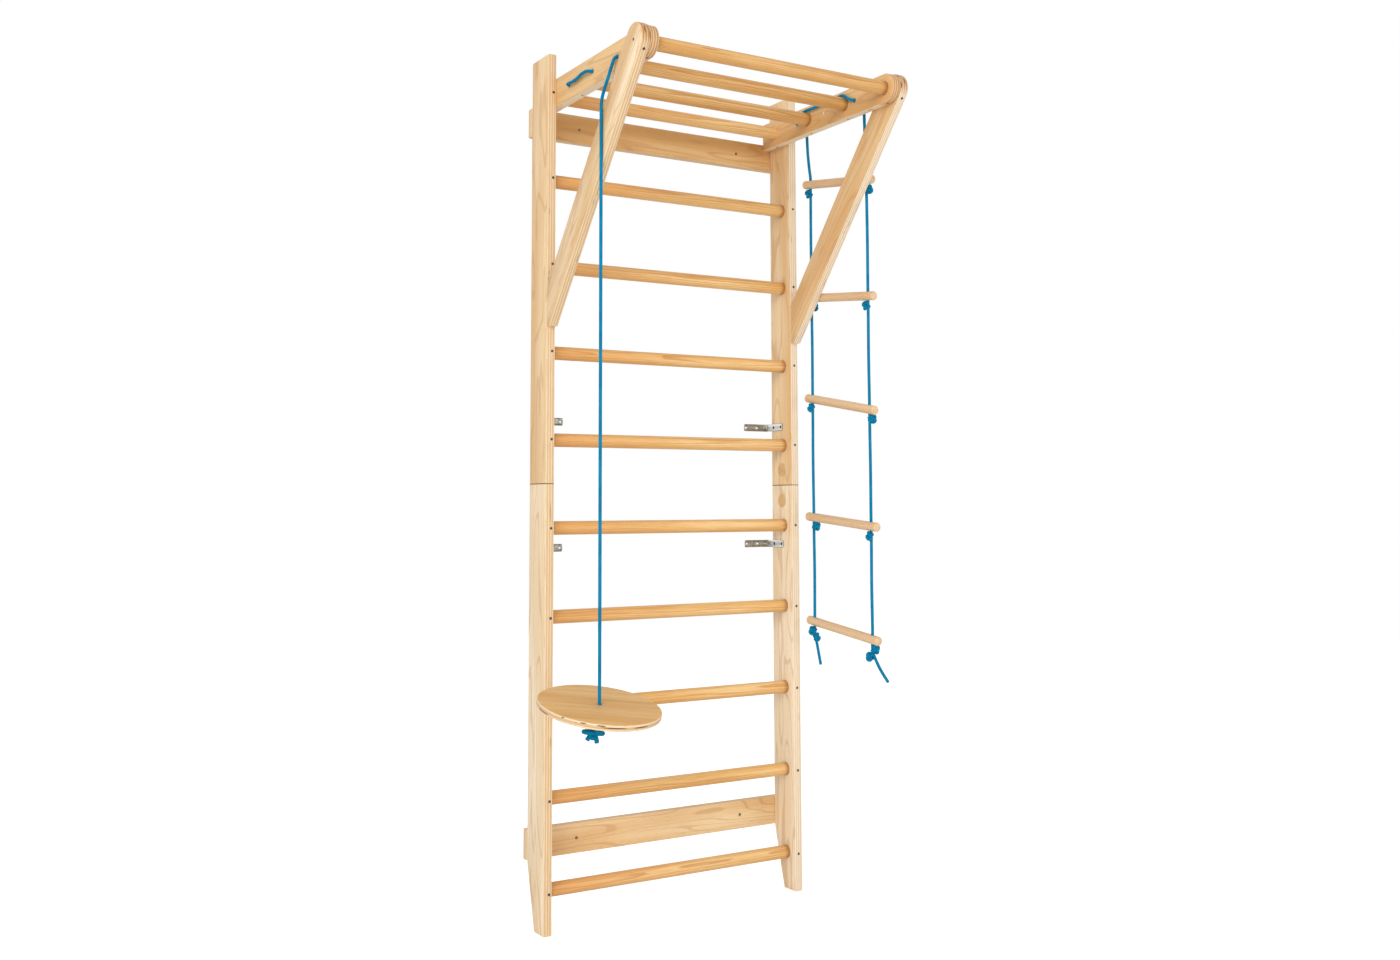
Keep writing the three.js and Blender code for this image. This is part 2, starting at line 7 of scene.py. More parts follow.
import logging
import math
from dataclasses import dataclass, field
from enum import Enum
from typing import Callable, Iterable, Sequence, TypeVar

import bmesh
import bpy
from mathutils import Matrix, Vector


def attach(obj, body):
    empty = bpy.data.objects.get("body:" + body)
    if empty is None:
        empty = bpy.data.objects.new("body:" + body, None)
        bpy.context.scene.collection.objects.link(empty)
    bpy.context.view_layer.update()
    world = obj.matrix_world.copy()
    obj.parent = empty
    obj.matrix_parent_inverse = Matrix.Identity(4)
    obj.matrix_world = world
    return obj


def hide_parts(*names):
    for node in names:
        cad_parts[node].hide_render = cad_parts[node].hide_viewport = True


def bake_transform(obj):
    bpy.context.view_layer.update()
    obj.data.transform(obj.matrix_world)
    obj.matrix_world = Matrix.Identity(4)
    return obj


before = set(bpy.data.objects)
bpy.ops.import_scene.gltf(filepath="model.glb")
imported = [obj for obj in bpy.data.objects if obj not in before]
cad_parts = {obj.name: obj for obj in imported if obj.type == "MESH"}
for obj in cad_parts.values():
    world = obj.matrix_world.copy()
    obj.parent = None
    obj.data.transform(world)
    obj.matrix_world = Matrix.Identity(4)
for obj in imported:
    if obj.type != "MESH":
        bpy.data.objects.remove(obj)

LOG = logging.getLogger("wall_bars")
MM = 0.001
Thing = TypeVar("Thing")
Socket = bpy.types.NodeSocket
Piece = bpy.types.Object
Material = bpy.types.Material
Number = float | Socket
Tint = str | Socket
Tones = tuple[str, str]
Pair = tuple[float, float]
Place = tuple[float, float, float]
Spot = Place | Vector
CornerTest = Callable[[Sequence[Vector]], bool]


class Named(Enum):
    """A choice whose name is a part of the pieces' names."""

    @property
    def word(self) -> str:
        """The choice as the pieces' names spell it."""
        return self.name.lower()


class Side(Named):
    """The two sides of the frame, seen from the room."""

    LEFT = -1
    RIGHT = 1

    def pick(self, pair: tuple[Thing, Thing]) -> Thing:
        """Gives this side's one of a left and a right thing."""
        return pair[0] if self is Side.LEFT else pair[1]


class Half(Named):
    """The two halves of an upright, and the two levels of battens and brackets."""

    LOWER = 0
    UPPER = 1


class Strand(Named):
    """The two ropes of the ladder."""

    REAR = 0
    FRONT = 1


class Axis(Enum):
    """The frame's own directions."""

    X = (1.0, 0.0, 0.0)
    Y = (0.0, 1.0, 0.0)
    Z = (0.0, 0.0, 1.0)

    @property
    def vector(self) -> Vector:
        """The direction as a vector."""
        return Vector(self.value)


@dataclass(frozen=True)
class FrameSizes:
    """Sizes of the frame in millimetres, from its middle, the uprights' front face and the floor."""

    batten_high_z: float = 2067.0
    batten_low_z: float = 202.0
    inner_x: float = 365.0
    board: float = 24.0
    depth: float = 100.0
    rung_pitch: float = 225.0
    rung_count: int = 10
    low_rung_z: float = 100.0
    rung_setback: float = 42.0
    overhead_pitch: float = 170.0
    overhead_count: int = 3
    arm_height: float = 76.0
    brace_width: float = 80.0
    brace_drop: float = 568.0

    @property
    def wall_y(self) -> float:
        """The wall, behind the uprights and the battens."""
        return self.depth + self.board

    @property
    def top_rung_z(self) -> float:
        """Height of the top wall rung and of the overhead rungs."""
        return self.low_rung_z + self.rung_pitch * (self.rung_count - 1)

    @property
    def seam_z(self) -> float:
        """Height of the joint between an upright's halves, midway between the rungs."""
        return (self.low_rung_z + self.top_rung_z) / 2

    @property
    def arm_x(self) -> float:
        """Middle plane of an arm."""
        return self.inner_x - self.board / 2

    @property
    def arm_low_z(self) -> float:
        """Height of the arms' low edges."""
        return self.top_rung_z - self.arm_height / 2

    @property
    def upright_x(self) -> float:
        """Middle plane of an upright or brace."""
        return self.inner_x + self.board / 2

    @property
    def head_y(self) -> float:
        """Centre of the braces' round heads."""
        return self.rung_setback - self.overhead_count * self.overhead_pitch

    @property
    def brace_up(self) -> Vector:
        """The way that a brace runs, up to its head."""
        return Vector((0, self.head_y, self.brace_drop)).normalized()

    @property
    def brace_front(self) -> Vector:
        """The way that a brace's front edge faces."""
        return Vector((0, -self.brace_up.z, self.brace_up.y))

    def batten_z(self, half: Half) -> float:
        """Height of the lower or upper batten's middle."""
        return self.batten_low_z if half is Half.LOWER else self.batten_high_z


SIZES = FrameSizes()


def at(x: float, y: float, z: float) -> Vector:
    """Finds a place in the frame.

    Args:
        x: Millimetres to the right of the middle.
        y: Millimetres behind the uprights' front face.
        z: Millimetres above the floor.

    Returns:
        The place in metres.
    """
    return Vector((x, y - SIZES.wall_y, z - SIZES.batten_high_z)) * MM


def beside_arm(side: Side, points: Iterable[Place]) -> list[Vector]:
    """Places a rope's points beside an arm.

    Args:
        side: The arm's side.
        points: Millimetres out from the arm's middle plane, behind the front face and above the top rung.

    Returns:
        The places.
    """
    return [at(side.value * (SIZES.arm_x + out), y, SIZES.top_rung_z + up) for out, y, up in points]


def srgb(code: str) -> tuple[float, float, float, float]:
    """Turns a six-digit screen colour into the linear colour that shaders use, by the usual screen curve.

    Args:
        code: Red, green and blue as hexadecimal digits.

    Returns:
        The linear colour, opaque.
    """
    parts = [int(code[i : i + 2], 16) / 255 for i in (0, 2, 4)]
    red, green, blue = (c / 12.92 if c <= 0.04045 else ((c + 0.055) / 1.055) ** 2.4 for c in parts)
    return red, green, blue, 1.0


@dataclass(frozen=True)
class Cloud:
    """A cloudy pattern: clouds per metre in three directions, its finer layers and how much it is warped."""

    scale: Place
    layers: float = 2.0
    warp: float = 0.0


@dataclass(frozen=True)
class Ramp:
    """A soft step: where it starts and ends, and its results before and after."""

    start: float
    end: float
    before: float = 0.0
    after: float = 1.0


@dataclass(frozen=True)
class Relief:
    """How relief shows: its depth in metres and its strength."""

    depth: float
    strength: float


class NodeBench:
    """Adds and links the shader nodes of one material."""

    def __init__(self, name: str) -> None:
        """Starts a material with its principled shader.

        Args:
            name: The material's name.
        """
        self.material = bpy.data.materials.new(name)
        self.material.use_nodes = True
        self.tree = self.material.node_tree
        self.shader = next(n for n in self.tree.nodes if n.type == "BSDF_PRINCIPLED")
        self._coordinates = self.add("TexCoord")

    def add(self, kind: str) -> bpy.types.ShaderNode:
        """Adds a node, by the end of Blender's name for it."""
        return self.tree.nodes.new(f"ShaderNode{kind}")

    def feed(self, socket: Socket, value: Number | Sequence[float]) -> None:
        """Links a socket to another, or sets its value.

        Args:
            socket: The input to feed.
            value: An output socket, a number or a list of numbers.
        """
        if isinstance(value, Socket):
            self.tree.links.new(value, socket)
        else:
            socket.default_value = value

    def set(self, name: str, value: Number | Sequence[float]) -> None:
        """Feeds one of the shader's own sockets."""
        self.feed(self.shader.inputs[name], value)

    def coordinates(self, kind: str) -> Socket:
        """Gives the texture coordinates of a kind, such as Object, Normal or UV."""
        return self._coordinates.outputs[kind]

    def along(self, kind: str, way: Sequence[float]) -> Socket:
        """Measures the coordinates of a kind along a direction."""
        return self.vector("DOT_PRODUCT", self.coordinates(kind), way)

    def facing(self, way: Sequence[float]) -> Socket:
        """Says how much a surface faces a direction or its opposite, from 0 to 1."""
        return self.math("ABSOLUTE", self.along("Normal", way))

    def math(self, operation: str, a: Number, b: Number = 0.0) -> Socket:
        """Adds a sum on one or two numbers.

        Args:
            operation: Blender's name for the sum.
            a: First number.
            b: Second number.

        Returns:
            The result.
        """
        node = self.add("Math")
        node.operation = operation
        self.feed(node.inputs[0], a)
        self.feed(node.inputs[1], b)
        return node.outputs[0]

    def times(self, a: Number, b: Number) -> Socket:
        """Multiplies two numbers."""
        return self.math("MULTIPLY", a, b)

    def sink(self, height: Number, mask: Number, depth: float) -> Socket:
        """Lowers a relief by a depth where a mask is 1."""
        return self.math("SUBTRACT", height, self.times(mask, depth))

    def vector(self, operation: str, a: Socket, b: Sequence[float] = (0, 0, 0)) -> Socket:
        """Adds a sum on vectors.

        Args:
            operation: Blender's name for the sum.
            a: The vector.
            b: A second, constant vector.

        Returns:
            The result: a number for a length or a dot product, and a vector otherwise.
        """
        node = self.add("VectorMath")
        node.operation = operation
        self.feed(node.inputs[0], a)
        node.inputs[1].default_value = b
        return node.outputs["Value" if operation in {"LENGTH", "DOT_PRODUCT"} else "Vector"]

    def parts(self, vector: Socket) -> tuple[Socket, ...]:
        """Splits a vector into its three numbers.

        Args:
            vector: The vector.

        Returns:
            The numbers.
        """
        node = self.add("SeparateXYZ")
        self.feed(node.inputs[0], vector)
        return tuple(node.outputs)

    def ramp(self, value: Number, ramp: Ramp) -> Socket:
        """Adds a soft step.

        Args:
            value: What is tested.
            ramp: The step.

        Returns:
            The stepped value.
        """
        node = self.add("MapRange")
        node.interpolation_type = "SMOOTHSTEP"
        self.feed(node.inputs["Value"], value)
        node.inputs["From Min"].default_value = ramp.start
        node.inputs["From Max"].default_value = ramp.end
        node.inputs["To Min"].default_value = ramp.before
        node.inputs["To Max"].default_value = ramp.after
        return node.outputs["Result"]

    def noise(self, vector: Socket, cloud: Cloud) -> Socket:
        """Adds a cloudy pattern.

        Args:
            vector: Where on the piece.
            cloud: The pattern.

        Returns:
            A number around one half.
        """
        node = self.add("TexNoise")
        self.feed(node.inputs["Vector"], self.vector("MULTIPLY", vector, cloud.scale))
        node.inputs["Scale"].default_value = 1.0
        node.inputs["Detail"].default_value = cloud.layers
        node.inputs["Distortion"].default_value = cloud.warp
        return node.outputs[0]

    def mix(self, factor: Number, a: Tint, b: Tint, share: float = 1.0) -> Socket:
        """Mixes two colours.

        Args:
            factor: The second colour's share.
            a: First colour.
            b: Second colour.
            share: What the second colour's share is at most.

        Returns:
            The mixed colour.
        """
        node = self.add("Mix")
        node.data_type = "RGBA"
        self.feed(node.inputs[0], factor if share == 1.0 else self.times(factor, share))
        for socket, colour in ((node.inputs[6], a), (node.inputs[7], b)):
            self.feed(socket, srgb(colour) if isinstance(colour, str) else colour)
        return node.outputs[2]

    def finish(self, colour: Socket, roughness: Number, height: Socket, relief: Relief) -> Material:
        """Links the shader's main sockets.

        Args:
            colour: The base colour.
            roughness: The roughness.
            height: Relief from 0 to 1.
            relief: How the relief shows.

        Returns:
            The material.
        """
        bump = self.add("Bump")
        bump.inputs["Strength"].default_value = relief.strength
        bump.inputs["Distance"].default_value = relief.depth
        self.feed(bump.inputs["Height"], height)
        self.set("Normal", bump.outputs[0])
        self.set("Base Color", colour)
        self.set("Roughness", roughness)
        return self.material


@dataclass(frozen=True)
class Grain:
    """How wood lies in a piece: a point on its middle plane, the way it runs and the way through it."""

    origin: Vector
    along: Vector
    through: Vector

    @property
    def turn(self) -> Matrix:
        """The turn from the frame's directions to along, across and through."""
        return Matrix((self.along, self.through.cross(self.along), self.through))

    def coordinates(self, bench: NodeBench) -> Socket:
        """Adds coordinates that run along the wood, across it and through it.

        Args:
            bench: The material's bench.

        Returns:
            The coordinates in metres.
        """
        mapping = bench.add("Mapping")
        mapping.inputs["Rotation"].default_value = self.turn.to_euler()
        mapping.inputs["Location"].default_value = -(self.turn @ self.origin)
        bench.feed(mapping.inputs["Vector"], bench.coordinates("Object"))
        return mapping.outputs["Vector"]


@dataclass(frozen=True)
class Void:
    """A gap in an inner layer that shows on a board's edge: how it lies, and its sizes in millimetres."""

    lie: Grain
    length: float
    height: float = 1.1
    reach: float = 9.0
    rim: Ramp = Ramp(0.7, 1.0, 1.0, 0.0)

    def mask(self, bench: NodeBench) -> Socket:
        """Adds a mask that is 1 inside the gap.

        Args:
            bench: The material's bench.

        Returns:
            The mask.
        """
        mapping = bench.add("Mapping")
        mapping.vector_type = "TEXTURE"
        mapping.inputs["Location"].default_value = self.lie.origin
        mapping.inputs["Rotation"].default_value = self.lie.turn.transposed().to_euler()
        mapping.inputs["Scale"].default_value = Vector((self.length / 2, self.reach, self.height / 2)) * MM
        bench.feed(mapping.inputs["Vector"], bench.coordinates("Object"))
        return bench.ramp(bench.vector("LENGTH", mapping.outputs[0]), self.rim)


@dataclass(frozen=True)
class Plywood:
    """Lacquered plywood: a figured face veneer, and layers with glue lines on the edges.

    Attributes:
        light, dark, line: Tones of the face and of its figure.
        edge_light, edge_dark, glue_line: Tones of the layers on an edge.
        end, end_cross: Tones of the layers where an edge shows end grain.
        gap: Tone inside a gap or a seam.
        thickness, plies: Thickness in metres and number of layers.
        seed: Which part of the veneer's figure the board shows.
        seam: Direction and place, in metres, of a seam with a neighbour.
        end_grain: Where along the board end grain starts and is full, in metres.
        figure: How strongly the figure's lines show.
    """

    name: str
    light: str = "f3dcb8"
    dark: str = "e3bd8b"
    line: str = "bf8850"
    edge_light: str = "ecd3ad"
    edge_dark: str = "cb9d68"
    glue_line: str = "b27c46"
    end: str = "d8a365"
    end_cross: str = "a2682f"
    gap: str = "2e1a0d"
    thickness: float = 0.024
    plies: int = 7
    seed: float = 0.0
    seam: tuple[Axis, float] | None = None
    end_grain: Pair | None = None
    figure: float = 0.36
    seed_across: float = 0.37
    figure_cloud: Cloud = Cloud((1.3, 11.0, 4.0), 2.0, 0.4)
    figure_rings: float = 62.0
    figure_line: Ramp = Ramp(0.72, 0.98)
    streak_cloud: Cloud = Cloud((5.0, 280.0, 40.0), 3.0)
    streak_tone: Ramp = Ramp(0.44, 0.66, 0.0, 0.55)
    tone_cloud: Cloud = Cloud((2.2, 16.0, 6.0), 1.0)
    tone: Ramp = Ramp(0.3, 0.7)
    pore_cloud: Cloud = Cloud((60.0, 900.0, 200.0), 1.0)
    pore: Ramp = Ramp(0.64, 0.72)
    pore_share: float = 0.34
    crossed_share: float = 0.6
    fibre_cloud: Cloud = Cloud((25.0, 300.0, 700.0), 2.0)
    fibre: Ramp = Ramp(0.42, 0.7, 0.0, 0.35)
    glue: Ramp = Ramp(0.40, 0.47)
    glue_share: float = 0.5
    end_share: float = 0.75
    face_turn: Ramp = Ramp(0.55, 0.85)
    seam_line: Ramp = Ramp(0.0005, 0.0017, 0.85, 0.0)
    streak_rise: float = 0.6
    pore_sink: float = 0.3
    glue_sink: float = 0.25
    gap_sink: float = 1.5
    specular: float = 0.35
    gloss: Ramp = Ramp(0.2, 0.8, 0.46, 0.60)
    relief: Relief = Relief(0.00035, 0.6)

    def material(self, grain: Grain, voids: Sequence[Void] = ()) -> Material:
        """Makes the material for one board.

        Args:
            grain: How the board lies.
            voids: Gaps that show on its edges.

        Returns:
            The material.
        """
        bench = NodeBench(self.name)
        bare = grain.coordinates(bench)
        place = bench.vector("ADD", bare, (self.seed, self.seed_across * self.seed, 0.0))
        streak = bench.noise(place, self.streak_cloud)
        pores = bench.ramp(bench.noise(place, self.pore_cloud), self.pore)
        glue, edge = self._edge(bench, bare, place)
        is_face = bench.ramp(bench.facing(grain.through), self.face_turn)
        colour = bench.mix(is_face, edge, self._face(bench, place, streak, pores))
        relief = bench.times(streak, self.streak_rise)
        relief = bench.sink(relief, pores, self.pore_sink)
        relief = bench.sink(relief, glue, self.glue_sink)
        for mask in self._gaps(bench, is_face, voids):
            colour = bench.mix(mask, colour, self.gap)
            relief = bench.sink(relief, mask, self.gap_sink)
        bench.set("Specular IOR Level", self.specular)
        return bench.finish(colour, bench.ramp(streak, self.gloss), relief, self.relief)

    def _face(self, bench: NodeBench, place: Socket, streak: Socket, pores: Socket) -> Socket:
        """Adds the face veneer's colour.

        Args:
            bench: The material's bench.
            place: Coordinates in the veneer's figure.
            streak: Fine streaks along the grain.
            pores: A mask of the pores.

        Returns:
            The colour.
        """
        tone = bench.ramp(bench.noise(place, self.tone_cloud), self.tone)
        rings = bench.math("SINE", bench.times(bench.noise(place, self.figure_cloud), self.figure_rings))
        colour = bench.mix(tone, self.light, self.dark)
        colour = bench.mix(bench.ramp(streak, self.streak_tone), colour, self.dark)
        colour = bench.mix(bench.ramp(rings, self.figure_line), colour, self.line, self.figure)
        return bench.mix(pores, colour, self.line, self.pore_share)

    def _edge(self, bench: NodeBench, bare: Socket, place: Socket) -> tuple[Socket, Socket]:
        """Adds the layers that show on the edges.

        Args:
            bench: The material's bench.
            bare: Coordinates along, across and through the board.
            place: Coordinates in the veneer's figure.

        Returns:
            A mask of the glue lines, and the colour.
        """
        run, _, depth = bench.parts(bare)
        layer = bench.math("ADD", bench.times(depth, self.plies / self.thickness), self.plies / 2)
        crossed = bench.math("MODULO", bench.math("FLOOR", layer), 2.0)
        off_middle = bench.math("ABSOLUTE", bench.math("SUBTRACT", bench.math("FRACT", layer), 0.5))
        glue = bench.ramp(off_middle, self.glue)
        fibre = bench.ramp(bench.noise(place, self.fibre_cloud), self.fibre)
        colour = bench.mix(crossed, self.edge_light, self.edge_dark, self.crossed_share)
        colour = bench.mix(fibre, colour, self.edge_dark)
        colour = bench.mix(glue, colour, self.glue_line, self.glue_share)
        if self.end_grain is not None:
            end = bench.mix(crossed, self.end, self.end_cross)
            at_end = bench.ramp(run, Ramp(*self.end_grain, after=self.end_share))
            colour = bench.mix(at_end, colour, end)
        return glue, colour

    def _gaps(self, bench: NodeBench, is_face: Socket, voids: Sequence[Void]) -> list[Socket]:
        """Adds masks of the gaps and the seam. A seam beside a neighbour's face shows on edges only.

        Args:
            bench: The material's bench.
            is_face: A mask of the faces.
            voids: The gaps on the edges.

        Returns:
            The masks.
        """
        is_edge = bench.math("SUBTRACT", 1.0, is_face)
        masks = [bench.times(void.mask(bench), is_edge) for void in voids]
        if self.seam is not None:
            axis, level = self.seam
            off = bench.math("SUBTRACT", bench.along("Object", axis.value), level)
            line = bench.ramp(bench.math("ABSOLUTE", off), self.seam_line)
            masks.append(bench.times(line, is_edge) if axis is Axis.X else line)
        return masks


@dataclass(frozen=True)
class Dowel:
    """A turned rod of straight-grained wood with growth lines along it.

    Attributes:
        light, dark, line: Tones of the wood and of its growth lines.
        shade, end: Tone of the painted shade next to the boards, and how far from the middle they are, in
            metres.
        deep, fade: Tone of a painted shade that deepens along the rod, and where it starts and is full, in
            metres.
        ring: Width of a year in metres.
        slant: How the years lean across the rod.
        fleck: How strongly flecks show.
    """

    name: str
    light: str
    dark: str
    line: str
    shade: str = "8f5420"
    deep: str = "dca05c"
    ring: float = 0.0036
    slant: float = 0.5
    fleck: float = 0.0
    end: float = 0.0
    fade: Pair | None = None
    wander_cloud: Cloud = Cloud((1.6, 30.0, 30.0), 2.0)
    wander: float = 0.018
    late_rise: Ramp = Ramp(0.50, 0.93)
    late_fall: Ramp = Ramp(0.95, 1.0, 1.0, 0.0)
    late_share: float = 0.65
    tone_cloud: Cloud = Cloud((2.0, 45.0, 45.0), 1.0)
    tone: Ramp = Ramp(0.3, 0.7)
    streak_cloud: Cloud = Cloud((16.0, 800.0, 800.0), 2.0)
    streak_tone: Ramp = Ramp(0.5, 0.68, 0.0, 0.4)
    fleck_cloud: Cloud = Cloud((260.0, 1500.0, 1500.0), 0.0)
    flecks: Ramp = Ramp(0.66, 0.74)
    deep_share: float = 0.85
    shade_reach: float = 0.018
    shade_share: float = 0.7
    rise: float = 0.5
    specular: float = 0.4
    gloss: Ramp = Ramp(0.2, 0.8, 0.38, 0.52)
    relief: Relief = Relief(0.0002, 0.5)

    def material(self, along: Vector) -> Material:
        """Makes the material for rods that run one way.

        Args:
            along: The way they run.

        Returns:
            The material.
        """
        bench = NodeBench(self.name)
        place = Grain(Vector((0, 0, 0)), along, along.orthogonal().normalized()).coordinates(bench)
        _, across, depth = bench.parts(place)
        lean = bench.math("ADD", across, bench.times(depth, self.slant))
        lean = bench.math("ADD", lean, bench.times(bench.noise(place, self.wander_cloud), self.wander))
        year = bench.math("FRACT", bench.math("DIVIDE", lean, self.ring))
        late = bench.times(bench.ramp(year, self.late_rise), bench.ramp(year, self.late_fall))
        streak = bench.noise(place, self.streak_cloud)
        reach = bench.along("Object", along)
        tone = bench.ramp(bench.noise(place, self.tone_cloud), self.tone)
        colour = bench.mix(tone, self.light, self.dark)
        # Painted shade: the tone deepens along the rod, towards where less light reaches it.
        if self.fade is not None:
            colour = bench.mix(bench.ramp(reach, Ramp(*self.fade, after=self.deep_share)), colour, self.deep)
        colour = bench.mix(late, colour, self.line, self.late_share)
        colour = bench.mix(bench.ramp(streak, self.streak_tone), colour, self.line)
        if self.fleck:
            dots = bench.ramp(bench.noise(place, self.fleck_cloud), self.flecks)
            colour = bench.mix(dots, colour, self.line, self.fleck)
        # Painted shade: the rod darkens where it enters the boards.
        if self.end:
            near_end = Ramp(self.end - self.shade_reach, self.end, after=self.shade_share)
            colour = bench.mix(bench.ramp(bench.math("ABSOLUTE", reach), near_end), colour, self.shade)
        relief = bench.math("ADD", bench.times(late, self.rise), bench.times(streak, self.rise))
        bench.set("Specular IOR Level", self.specular)
        return bench.finish(colour, bench.ramp(streak, self.gloss), relief, self.relief)


@dataclass(frozen=True)
class BraidedRope:
    """Braided plastic rope: two families of strands that cross round it, with stitches in metres, and painted
    shade in the grooves between them.
    """

    name: str = "blue_braid"
    light: str = "0084b0"
    dark: str = "00769d"
    groove: str = "005674"
    strands: int = 8
    stitch: float = 0.0046
    fibre_cloud: Cloud = Cloud((900.0, 900.0, 900.0), 2.0)
    fibre_tone: Ramp = Ramp(0.4, 0.8, 0.0, 0.3)
    tone_cloud: Cloud = Cloud((35.0, 35.0, 35.0), 1.0)
    tone: Ramp = Ramp(0.3, 0.7)
    groove_tone: Ramp = Ramp(0.0, 0.35, 0.3, 0.0)
    strand_curve: float = 0.5
    fibre_rise: float = 0.15
    specular: float = 0.09
    gloss: Ramp = Ramp(0.3, 0.7, 0.55, 0.75)
    relief: Relief = Relief(0.0004, 0.7)

    def material(self) -> Material:
        """Makes the material. It reads the rope's own map: metres along it, and turns round it.

        Returns:
            The material.
        """
        bench = NodeBench(self.name)
        along, around, _ = bench.parts(bench.coordinates("UV"))
        turn = bench.times(around, float(self.strands))
        run = bench.math("DIVIDE", along, self.stitch)
        families = []
        for operation in ("ADD", "SUBTRACT"):
            phase = bench.times(bench.math(operation, turn, run), math.pi)
            families.append(bench.math("ABSOLUTE", bench.math("SINE", phase)))
        weave = bench.times(*families)
        fibre = bench.noise(bench.coordinates("Object"), self.fibre_cloud)
        tone = bench.ramp(bench.noise(bench.coordinates("Object"), self.tone_cloud), self.tone)
        colour = bench.mix(tone, self.light, self.dark)
        colour = bench.mix(bench.ramp(fibre, self.fibre_tone), colour, self.dark)
        # Painted shade: the grooves between the strands are darkened.
        colour = bench.mix(bench.ramp(weave, self.groove_tone), colour, self.groove)
        strands = bench.math("POWER", weave, self.strand_curve)
        relief = bench.math("ADD", strands, bench.times(fibre, self.fibre_rise))
        bench.set("Specular IOR Level", self.specular)
        return bench.finish(colour, bench.ramp(fibre, self.gloss), relief, self.relief)


@dataclass(frozen=True)
class Zinc:
    """Zinc-plated steel with a soft spangle and fine scratches.

    Attributes:
        light, dark: Tones of the spangle.
        grain: Spangles in a metre.
        bright: A direction, and the tone of a painted reflection on the surfaces that face it or its opposite.
    """

    name: str
    light: str = "cfcec8"
    dark: str = "a3a29c"
    grain: float = 260.0
    bright: tuple[Axis, str] | None = None
    rub_cloud: Cloud = Cloud((900.0, 120.0, 900.0), 2.0)
    rub_tone: Ramp = Ramp(0.5, 0.8, 0.0, 0.5)
    bright_turn: Ramp = Ramp(0.6, 0.9, 0.0, 0.85)
    gloss: Ramp = Ramp(0.3, 0.7, 0.30, 0.46)
    relief: Relief = Relief(0.00008, 0.5)

    def material(self) -> Material:
        """Makes the material.

        Returns:
            The material.
        """
        bench = NodeBench(self.name)
        place = bench.coordinates("Object")
        cells = bench.add("TexVoronoi")
        cells.inputs["Scale"].default_value = self.grain
        bench.feed(cells.inputs["Vector"], place)
        spangle = bench.parts(cells.outputs["Color"])[0]
        rub = bench.noise(place, self.rub_cloud)
        colour = bench.mix(spangle, self.light, self.dark)
        colour = bench.mix(bench.ramp(rub, self.rub_tone), colour, self.dark)
        # Painted reflection: surfaces that face one way, or its opposite, turn paler, as if a lamp showed in
        # them.
        if self.bright is not None:
            axis, tone = self.bright
            colour = bench.mix(bench.ramp(bench.facing(axis.value), self.bright_turn), colour, tone)
        bench.set("Metallic", 1.0)
        return bench.finish(colour, bench.ramp(rub, self.gloss), rub, self.relief)


class Picked(Enum):
    """What an edit takes hold of. The value is the bevel's word for it."""

    EDGE = "EDGES"
    VERT = "VERTICES"


